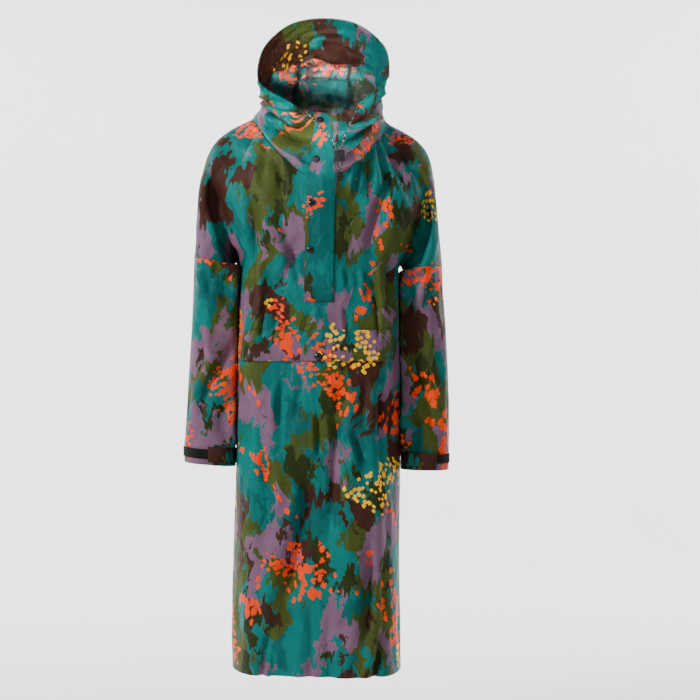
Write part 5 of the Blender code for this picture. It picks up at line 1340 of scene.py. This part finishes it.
def softBlock(name, centre, size, powers, material, count=28, waist=0.0):
    # rounded block: a superellipsoid, its waist drawn in by a share
    rows, verts, faces = count // 2, [], []

    def bend(value, power):
        return math.copysign(abs(value) ** power, value)

    for i in range(rows + 1):
        tilt = math.pi * i / rows - math.pi / 2
        for j in range(count):
            turn = 2 * math.pi * j / count
            x = bend(math.cos(tilt), powers[1]) * bend(math.cos(turn), powers[0])
            y = bend(math.cos(tilt), powers[1]) * bend(math.sin(turn), powers[0])
            z = bend(math.sin(tilt), powers[1])
            pull = 1.0 - waist * (1 - z * z)
            verts.append((centre[0] + x * pull * size[0] / 2, centre[1] + y * pull * size[1] / 2,
                          centre[2] + z * size[2] / 2))
    for i in range(rows):
        faces += ringFaces(i * count, (i + 1) * count, count)
    piece = finishMesh(name, np.array(verts), faces, [material])
    work = bmesh.new()
    work.from_mesh(piece.data)
    bmesh.ops.remove_doubles(work, verts=work.verts, dist=1e-6)
    work.to_mesh(piece.data)
    work.free()
    return piece


def nearest(surface, x, z, front=True):
    # point and normal of the outer cloth where it lies at (x, z) on that side
    grid, normals = surface["grid"], surface["normals"]
    solid = ~np.isnan(grid[..., 0]) & ((normals[..., 1] < 0) == front)
    points, facing = grid[solid], normals[solid]
    off = (points[:, 0] - x) ** 2 + (points[:, 2] - z) ** 2
    pick = np.argsort(off)[:4]
    weight = 1.0 / (off[pick] + 1e-7)
    weight /= weight.sum()
    return (points[pick] * weight[:, None]).sum(0), unit((facing[pick] * weight[:, None]).sum(0))


stitch = {
    "length": 0.0026,
    "gap": 0.0011,
    "radius": 0.00028,
    # cross sections of a stitch: place along its half length, width and height in radii
    "sections": ((-1.0, 0.35, -0.9), (-0.72, 1.0, 0.35), (0.72, 1.0, 0.35), (1.0, 0.35, -0.9)),
}


def evenly(points, normals, spacing):
    # places, normals and directions along a line
    lengths = lengthsAlong(points)
    at = np.arange(spacing / 2, lengths[-1], spacing)

    def sampled(values, places):
        return np.stack([np.interp(places, lengths, values[:, k]) for k in range(3)], axis=1)

    ahead = sampled(points, np.minimum(at + 1e-4, lengths[-1])) - sampled(points, np.maximum(at - 1e-4, 0))
    return sampled(points, at), unit(sampled(normals, at)), unit(ahead)


def stitchLines(name, lines, slotName, lift=0.0005):
    # rows of stitches; a line is (points, normals) on the cloth
    half, radius = stitch["length"] / 2, stitch["radius"]
    blocks = []
    for points, normals in lines:
        place, up, way = evenly(points, normals, stitch["length"] + stitch["gap"])
        side = np.cross(up, way)
        rings = []
        for along, wide, high in stitch["sections"]:
            centre = place + up * lift + way * half * along
            rings += [centre - side * radius * wide + up * radius * high * 0.4,
                      centre + up * radius * (high + 0.65),
                      centre + side * radius * wide + up * radius * high * 0.4,
                      centre - up * radius * 1.2]
        blocks.append(np.stack(rings, axis=1).reshape(-1, 3))
    verts = np.concatenate(blocks)
    one = [face for i in range(3) for face in ringFaces(4 * i, 4 * i + 4, 4)]
    one += [(3, 2, 1, 0), (12, 13, 14, 15)]
    faces = np.array(one)[None] + np.arange(0, len(verts), 16)[:, None, None]
    faces = faces.reshape(-1, 4).tolist()
    return addPiece(finishMesh(name, verts, faces, [materials["thread"]]), slotName)


def moved(grid, normals, k, distance):
    # line on the cloth along row k, moved on over the rows by the distance
    points, facing = grid[k].copy(), normals[k].copy()
    onward = 1 if distance > 0 else -1
    total, hold = np.zeros(len(points)), np.zeros(len(points), bool)
    while distance and 0 <= k + onward < len(grid) and not hold.all():
        a, b = grid[k], grid[k + onward]
        size = np.linalg.norm(b - a, axis=1)
        share = np.clip((abs(distance) - total) / np.maximum(size, 1e-9), 0, 1)[:, None]
        points = np.where(hold[:, None], points, mix(a, b, share))
        facing = np.where(hold[:, None], facing, unit(mix(normals[k], normals[k + onward], share)))
        total = total + size
        hold |= total >= abs(distance)
        k += onward
    return points, facing


def alongRow(surface, i, first, last, rise):
    return moved(surface["grid"][:, first:last], surface["normals"][:, first:last], i, rise)


def alongColumn(surface, j, first, last, shift):
    grid, normals = (surface[key][first:last].swapaxes(0, 1) for key in ("grid", "normals"))
    return moved(grid, normals, j, shift)


clothPieces = {}


def addCloth(name, surface, looks, slotName, ending="_cloth", nodes=None, **options):
    made = [materials[look] for look in looks]
    piece = shell(name + ending, surface["grid"], surface["normals"], made, **options)
    clothPieces[name] = addPiece(piece, slotName, *((name,) if nodes is None else nodes))


front = panelSurface(True)
back = panelSurface(False)

# how the print hangs over the arms and shoulders: pairs are a place and the distance over which it comes in
hang = {
    "armDepth": 0.068,
    "armFrom": (0.19, 0.06),
    "ribDepth": 0.110,
    "ribShare": 0.6,
    "shoulderFrom": (0.12, 0.12),
    "above": (0.24, 0.10),
    "outside": (0.175, 0.03),
}


def bodyMap(surface):
    # one flat map for the whole panel, its upper rows counted on from the armpit
    grid, junction = surface["grid"], surface["rows"]["junction"]
    middle = grid.shape[1] // 2
    lower = gridMap(grid[:junction + 1, creaseAt:-creaseAt], byColumn=False)
    upper = gridMap(grid[junction:], middle)
    # over the arms and shoulders the print keeps to the way it hangs
    x, y, z = np.moveaxis(grid[junction:], -1, 0)
    depth, far = np.abs(y), np.abs(x)
    armShare = ease((far - hang["armFrom"][0]) / hang["armFrom"][1])
    ribShare = ease((z + hang["shoulderFrom"][0]) / hang["shoulderFrom"][1])
    across = x + np.sign(x) * np.clip(hang["armDepth"] - depth, 0, None) * armShare
    up = z - grid[junction, middle, 2]
    up = up + hang["ribShare"] * np.clip(hang["ribDepth"] - depth, 0, None) * ribShare
    over = np.maximum(ease((z + hang["above"][0]) / hang["above"][1]),
                      ease((far - hang["outside"][0]) / hang["outside"][1]))[..., None]
    upper = mix(upper, np.stack([across, up], axis=-1), over)
    whole = np.full(grid.shape[:2] + (2,), np.nan)
    whole[junction:] = upper + (0.0, lower[-1, 0, 1])
    whole[:junction, creaseAt:-creaseAt] = lower[:-1]
    return whole


# the cloth is open along the slit from a little over its foot
slitAt = halfCount - 1
slitFoot = int(np.argmax(front["grid"][:, slitAt, 2] > body["slitFoot"] + 0.012))
frontCells = front["cells"].copy()
frontCells[slitFoot:, slitAt - 1:slitAt + 1] = False
addCloth("front", front, ("front", "inside"), "cloth_teal", cells=frontCells, uv=bodyMap(front))
addCloth("back", back, ("back", "inside"), "cloth_olive", cells=back["cells"], flip=True, uv=bodyMap(back))
print("panels ready")

sleeves = {}
for label, look in (("right", "sleeveRight"), ("left", "sleeveLeft")):
    sleeves[label] = sleeveSurface(label, front, back)
    # the underarm seam lies on the inner line
    seamed = {key: np.roll(sleeves[label][key], -lobeCount, axis=1) for key in ("grid", "normals", "cells")}
    addCloth("sleeve_" + label, seamed, (look, "inside"), "cloth_mauve", cells=seamed["cells"], wrap=True,
             flip=sleeves[label]["hand"] < 0)
print("sleeves ready")


def partOf(surface, rows, span):
    return {key: surface[key][rows, span] for key in ("grid", "normals")}


wholeHood = hoodSurface(front, back)
hoodMap = gridMap(wholeHood["grid"][::-1])[::-1]
gussetAt = [int(np.argmin(np.abs(wholeHood["u"] - value))) for value in hood["gusset"]]
hoodWidth = wholeHood["grid"].shape[1]
for name, first, last, look, slotName in (
        ("hood_right", 0, gussetAt[0], "hood", "cloth_teal"),
        ("hood_center", gussetAt[0], gussetAt[1], "hoodCenter", "cloth_brown"),
        ("hood_left", gussetAt[1], hoodWidth - 1, "hood", "cloth_olive")):
    span = slice(first, last + 1)
    addCloth(name, partOf(wholeHood, slice(None), span), (look, "inside"), slotName, uv=hoodMap[:, span])

facingForm = {
    "span": (2.6, 11.4),        # u
    "share": 0.40,              # v of its back edge
    "arch": ((0.045, 0.9, 0.5), (-0.012, 0.0, 0.4)),    # waves of that edge: rise, place from u = 7, width
    "drop": 0.010,
    "curl": 1.5,
    "slack": 0.0014,
    "squeeze": 0.30,
    "gathers": ((0.0024, 0.015, 5), (0.0026, 0.036, 6)),    # height, length, seed
}


def facingSurface():
    # the facing follows the inside of the face edge, gathered, and hangs free at its back edge
    form, u, v = facingForm, wholeHood["u"], wholeHood["v"]
    low, high = form["span"]
    picked = np.nonzero((u >= low) & (u <= high))[0]
    rows = np.nonzero(v <= form["share"] + 1e-6)[0]
    away = np.abs(u[picked] - 7.0)
    end = form["share"] + sum(rise * np.exp(-((away - at) / wide) ** 2) for rise, at, wide in form["arch"])

    def laidOn(values):
        # the hood's values where the facing's rows lie in each of its columns
        return np.stack([np.stack([np.interp(v[rows] / form["share"] * end[k], v, values[:, column, axis])
                                   for axis in range(3)], axis=-1)
                         for k, column in enumerate(picked)], axis=1)

    crown = np.clip(np.sin(np.pi * (u[picked] - low) / (high - low)), 0, None)
    share = v[rows] / form["share"]
    drop = form["drop"] * crown[None] * share[:, None] ** form["curl"]
    # gathers that run with the edge
    across, down = np.meshgrid(u[picked] * hood["mapSteps"][0], v[rows] * hood["mapSteps"][1])
    places = np.stack([across * form["squeeze"], down, 0 * down], axis=-1).reshape(-1, 3)
    gather = sum(height * swirl(places, length, seed) for height, length, seed in form["gathers"])
    gather = gather.reshape(across.shape) * ease(share * 5)[:, None] * crown[None]
    drop = np.maximum(drop + form["slack"] * crown + gather, 0.0)[..., None]
    return clothOf(laidOn(wholeHood["grid"]) - unit(laidOn(wholeHood["normals"])) * drop)


addCloth("hood_facing", facingSurface(), ("facing",), "cloth_teal", lift=-0.0016, thick=0.0010)
print("hood ready")


def placketSurface():
    # strip over both edges of the slit, from just under its foot up over the collar
    foot = int(np.argmax(front["grid"][:, slitAt, 2] > body["slitFoot"] - 0.001))
    wide = len(columns["strip"])
    pick = list(range(slitAt - wide, slitAt)) + list(range(slitAt + 1, slitAt + wide + 1))
    collar = list(range(wide, 0, -1)) + list(range(-2, -wide - 2, -1))
    grid = np.concatenate([front["grid"][foot:-3][:, pick], wholeHood["grid"][-4::-1][:, collar]])
    for again in range(3):
        smooth = grid.copy()
        smooth[1:-1] = 0.25 * grid[:-2] + 0.5 * grid[1:-1] + 0.25 * grid[2:]
        grid = smooth
    return clothOf(grid)


placket = placketSurface()
addCloth("placket", placket, ("placket",), "cloth_teal", lift=0.0017, thick=0.0012)

flapForm = {
    "heights": (-0.496, -0.432),
    "side": 0.30,                       # share of the panel's side columns where it ends
    "lift": 0.0016,                     # at its free edge
    "swell": (0.0012, 0.075, 31),       # height, length, seed
    "gathers": {"at": 0.93, "width": 0.10, "height": 0.0022, "waves": 75},
    "pleat": {"x": 0.1325, "slant": 0.0145, "height": 0.0022, "depth": 0.0026},
    # short creases beside the snap: x, share of the height, half length, wave
    "creases": ((-0.062, 0.80, 0.026, 9.0), (-0.054, 0.62, 0.018, 14.0)),
}


def flapSurface():
    form, (swellHeight, swellLength, seed) = flapForm, flapForm["swell"]
    heights = front["grid"][:, slitAt, 2]
    foot, top = (int(np.argmin(np.abs(heights - z))) for z in form["heights"])
    skip = creaseAt + int(np.searchsorted(columns["side"], form["side"]))
    rows, span = slice(foot, top + 1), slice(skip, front["grid"].shape[1] - skip)
    part, normals = front["grid"][rows, span].copy(), front["normals"][rows, span]
    share = np.linspace(1, 0, len(part))[:, None]
    across = np.linspace(-1, 1, part.shape[1])[None]
    lift = form["lift"] * ease(share) + swellHeight * share * swirl(part * (1.0, 0.0, 0.5), swellLength, seed)
    # gathers beside both ends
    gathers, pleat = form["gathers"], form["pleat"]
    ends = np.exp(-((np.abs(across) - gathers["at"]) / gathers["width"]) ** 2)
    lift = lift + gathers["height"] * ends * np.sin(across * gathers["waves"] + 3 * share) * (1 - 0.4 * share)
    # one slanting pleat on -X
    off = part[..., 0] + pleat["x"] + pleat["slant"] * share
    lift = lift + pleat["height"] * np.exp(-((off - 0.006) / 0.0045) ** 2)
    lift = lift - pleat["depth"] * np.exp(-(off / 0.003) ** 2)
    for place, level, reach, wave in form["creases"]:
        run = np.exp(-((part[..., 0] - place) / reach) ** 2)
        line = level + 0.05 * np.sin((part[..., 0] - place) * wave * 6)
        lift = lift - 0.0016 * run * np.exp(-((share - line) / 0.07) ** 2)
        lift = lift + 0.0012 * run * np.exp(-((share - line + 0.12) / 0.09) ** 2)
    return clothOf(part + normals * np.maximum(lift, -0.0003)[..., None])


flap = flapSurface()
addCloth("pocket_flap", flap, ("flap", "inside"), "cloth_mauve", lift=0.0016, thick=0.0012)
print("placket and flap ready")

# the solids' rings have eight columns to a half; the strip starts four columns before the outer line
cuffForm = {
    "coarse": {"out": (0.0, 0.10, 0.30, 0.62), "into": (0.0, 0.36, 0.66, 0.88)},
    "tab": {"right": (4, 8), "left": (3, 7)},
    "stripFrom": -4,
    "overStrip": 0.0019,        # rise of the tab where it lies on the strip
    "slope": 5.0,               # columns over which it comes down again
}


def cuffColumn(k):
    # fine column of a sleeve's ring for a column of the solid's ring, counted back from it when under 0
    out, into = columns["lobeOut"], columns["lobeIn"]
    if k < 0:
        return 2 * lobeCount - cuffColumn(-k)
    if k < 4:
        return int(np.argmin(np.abs(out - cuffForm["coarse"]["out"][k])))
    if k < 8:
        return len(out) + int(np.argmin(np.abs(into - cuffForm["coarse"]["into"][k - 4])))
    return lobeCount


def cuffSurfaces(label):
    surface = sleeves[label]
    tabTop, stripTop, stripFoot, tabFoot = surface["rows"]["cuff"][:4]
    first, last = cuffForm["tab"][label]
    ring = [*range(cuffColumn(cuffForm["stripFrom"]), 2 * lobeCount), *range(cuffColumn(first + 1) + 1)]
    strip = {key: surface[key][stripTop:stripFoot + 1][:, ring] for key in ("grid", "normals")}
    tab = partOf(surface, slice(tabTop, tabFoot + 1), slice(cuffColumn(first), cuffColumn(last) + 1))
    overStrip = cuffColumn(first + 2) - cuffColumn(first) - np.arange(tab["grid"].shape[1])
    rise = cuffForm["overStrip"] * ease(overStrip / cuffForm["slope"] + 0.5)
    return strip, clothOf(tab["grid"] + tab["normals"] * rise[None, :, None], flip=surface["hand"] < 0)


tabs = {}
for label in ("right", "left"):
    strip, tabs[label] = cuffSurfaces(label)
    turn = sleeves[label]["hand"] < 0
    addCloth("cuff_strip_" + label, strip, ("hook",), "hook_tape", "_tape", flip=turn, lift=0.0017,
             thick=0.0016)
    addCloth("cuff_tab_" + label, tabs[label], ("tab",), "cloth_brown", flip=turn, lift=0.0015, thick=0.0012)
print("cuffs ready")

# places are x and z on the cloth; profiles are (radius, height) from the axis or the inner edge outwards
snaps = {
    "snap_collar": (placket, (0.0066, 0.0002)),
    "snap_neck": (placket, (-0.0016, -0.0798)),
    "snap_chest": (placket, (-0.0104, -0.1696)),
    "snap_low": (placket, (-0.0129, -0.2670)),
    "snap_pocket": (flap, (0.0027, -0.4859)),
}
eyelets = {"right": (-0.0224, 0.0178), "left": (0.0827, 0.0287)}
profiles = {
    "snap": [(0.0, 0.0034), (0.0014, 0.00335), (0.0030, 0.0032), (0.0046, 0.0028), (0.0058, 0.0022),
             (0.0063, 0.00185), (0.0067, 0.0019), (0.0073, 0.0017), (0.0076, 0.0012), (0.0075, 0.0005),
             (0.0068, 0.0), (0.0, 0.0)],
    "eyelet": [(0.0026, -0.0008), (0.0024, -0.0006), (0.0026, 0.0008), (0.0031, 0.0013), (0.0040, 0.0014),
               (0.0048, 0.0010), (0.0052, 0.0004), (0.0052, 0.0)],
    "lip": [(0.0019, -0.002), (0.0030, -0.002), (0.0030, 0.0002), (0.0026, 0.0006), (0.0020, 0.0004)],
    "button": [(0.0, 0.0068), (0.0018, 0.0067), (0.0027, 0.0060), (0.0030, 0.0050), (0.0030, 0.0036),
               (0.0026, 0.0032), (0.0026, -0.0010), (0.0, -0.0010)],
    "ring": [(0.0040, -0.0006), (0.0047, -0.0004), (0.0047, 0.0004), (0.0040, 0.0006)],
}
fittings = {
    "snapLift": 0.0023,
    "eyeletLift": 0.0006,
    "lockPowers": (0.55, 0.35),     # roundness in plan and upright, 1 being an ellipsoid
    "lockWaist": 0.10,
    "lipSink": 0.0009,
    "ribSize": (0.0212, 0.0122, 0.0014),
    "ribPowers": (0.55, 0.6),
    "ribGap": 0.0045,
    "stopperPowers": (0.8, 0.3),
    "stopperWaist": 0.06,
    "ringDrop": 0.0052,
}


def plasticRing(name, profile, centre, normal, *nodes, sides=40, look="plastic"):
    piece = turned(name, profiles[profile], centre, normal, materials[look], sides)
    return addPiece(piece, "black_plastic", *nodes)


def plasticBlock(name, centre, size, powers, count, waist, *nodes):
    piece = softBlock(name, centre, size, powers, materials["plastic"], count, waist)
    return addPiece(piece, "black_plastic", *nodes)


for name, (surface, (x, z)) in snaps.items():
    point, normal = nearest(surface, x, z)
    plasticRing(name + "_stud", "snap", point + normal * fittings["snapLift"], normal, name)
for label, (x, z) in eyelets.items():
    point, normal = nearest(wholeHood, x, z)
    name = "eyelet_" + label
    plasticRing(name + "_ring", "eyelet", point + normal * fittings["eyeletLift"], normal, name)

lockX, lockY, lockZ = cord["lock"]
halfLock = cord["lockSize"][2] / 2
lockBody = plasticBlock("cord_lock_body", cord["lock"], cord["lockSize"], fittings["lockPowers"], 48,
                        fittings["lockWaist"], "cord_lock")
lockRings = []
for side, hand in (("right", -1), ("left", 1)):
    for level, end in (("foot", -1), ("top", 1)):
        centre = (lockX + hand * cord["holeOff"], lockY, lockZ + end * (halfLock - fittings["lipSink"]))
        name = "lock_lip_" + side + "_" + level
        lockRings.append(plasticRing(name, "lip", centre, (0, 0, end), sides=24))
button = plasticRing("cord_lock_push", "button", (lockX, lockY, lockZ + halfLock), (0, 0, 1),
                     "cord_lock_button", sides=32)
for k in range(3):
    centre = (lockX, lockY, lockZ + (k - 1) * fittings["ribGap"])
    lockRings.append(plasticBlock("lock_rib_%d" % k, centre, fittings["ribSize"], fittings["ribPowers"], 32,
                                  0.0))
stopper = plasticBlock("cord_stopper_body", cord["stopper"], cord["stopperSize"], fittings["stopperPowers"],
                       40, fittings["stopperWaist"], "cord_stopper")
stopperX, stopperY, stopperZ = cord["stopper"]
ring = plasticRing("stopper_ring", "ring", (stopperX, stopperY, stopperZ - fittings["ringDrop"]), (0, 0, 1),
                   sides=32, look="metal")
print("trims ready")

# distances of the stitch lines from the edges they follow
sewing = {
    "hem": 0.019,
    "sleeveSeam": (0.0022, 0.0075),
    "cuff": 0.0155,
    "tab": 0.0018,
    "placket": 0.0022,
    "placketFoot": 0.0120,
    "flapFoot": 0.0060,
    "flapSide": 0.0050,
    "flapTop": 0.0030,
    "face": (0.0080, 0.0260),
    "gusset": 0.0030,
    "neck": 0.0035,
    "ends": 12,             # columns left free beside the placket
    "tapeFrom": 0.34,       # v where the tapes come out from under the facing
    "tapeHalf": 3,          # columns
}


def seamLines():
    width = front["grid"].shape[1]
    lines = []
    for surface in (front, back):
        junction = surface["rows"]["junction"]
        for rise in sewing["sleeveSeam"]:
            lines.append(alongRow(surface, junction, 0, lobeCount + 1, rise))
            lines.append(alongRow(surface, junction, width - lobeCount - 1, width, rise))
    return lines


def cuffLine(surface):
    rows, width = surface["grid"].shape[:2]
    points, normals = alongRow(surface, rows - 1, 0, width, -sewing["cuff"])
    return np.concatenate([points, points[:1]]), np.concatenate([normals, normals[:1]])


def sideLines(surface, distance):
    # lines beside both side edges of a piece
    rows, width = surface["grid"].shape[:2]
    return [alongColumn(surface, 0, 1, rows - 1, distance),
            alongColumn(surface, width - 1, 1, rows - 1, -distance)]


def rowLine(surface, i, rise, margin=1):
    rows, width = surface["grid"].shape[:2]
    return alongRow(surface, i % rows, margin, width - margin, rise)


stitchLines("hem_stitches", [rowLine(surface, 0, sewing["hem"], creaseAt) for surface in (front, back)],
            "cloth_teal")
stitchLines("sleeve_seam_stitches", seamLines(), "cloth_mauve")
for label, tab in tabs.items():
    stitchLines("cuff_stitches_" + label, [cuffLine(sleeves[label])], "cloth_mauve")
    stitchLines("tab_stitches_" + label, [
        rowLine(tab, 0, sewing["tab"]), rowLine(tab, -1, -sewing["tab"]), *sideLines(tab, sewing["tab"])],
        "cloth_brown", lift=0.0022)
stitchLines("placket_stitches", [
    *sideLines(placket, sewing["placket"]), rowLine(placket, 0, sewing["placket"]),
    rowLine(placket, 0, sewing["placketFoot"])], "cloth_teal", lift=0.0024)
stitchLines("flap_stitches", [
    rowLine(flap, 0, sewing["flapFoot"], 2), *sideLines(flap, sewing["flapSide"]),
    rowLine(flap, -1, -sewing["flapTop"])], "cloth_mauve", lift=0.0023)
hoodRows = len(wholeHood["grid"])
stitchLines("hood_stitches", [
    *(rowLine(wholeHood, 0, rise, sewing["ends"]) for rise in sewing["face"]),
    alongColumn(wholeHood, gussetAt[0], 2, hoodRows - 2, -sewing["gusset"]),
    alongColumn(wholeHood, gussetAt[1], 2, hoodRows - 2, sewing["gusset"])], "cloth_olive")
stitchLines("neck_stitches", [rowLine(wholeHood, -1, -sewing["neck"], sewing["ends"])], "cloth_olive")
tapeRows = slice(int(np.argmax(wholeHood["v"] > sewing["tapeFrom"])), None)
for name, at in zip(("right", "left"), gussetAt):
    span = slice(at - sewing["tapeHalf"], at + sewing["tapeHalf"] + 1)
    addCloth("hood_seam_tape_" + name, partOf(wholeHood, tapeRows, span), ("seamTape",), "cloth_brown", "",
             (), lift=-0.0009, thick=0.0004)
print("sewing ready")

for label, riders in (("right", [lockBody, button, stopper, ring, *lockRings]), ("left", [stopper])):
    piece, path = cordPieces[label]

# each cloth's area, half of its closed surface, and its count of triangles
for name, piece in clothPieces.items():
    half = sum(face.area for face in piece.data.polygons) / 2
    print("cloth %-24s %.4f m2, %d triangles" % (name, half, 2 * len(piece.data.polygons)))

print("pieces ready")
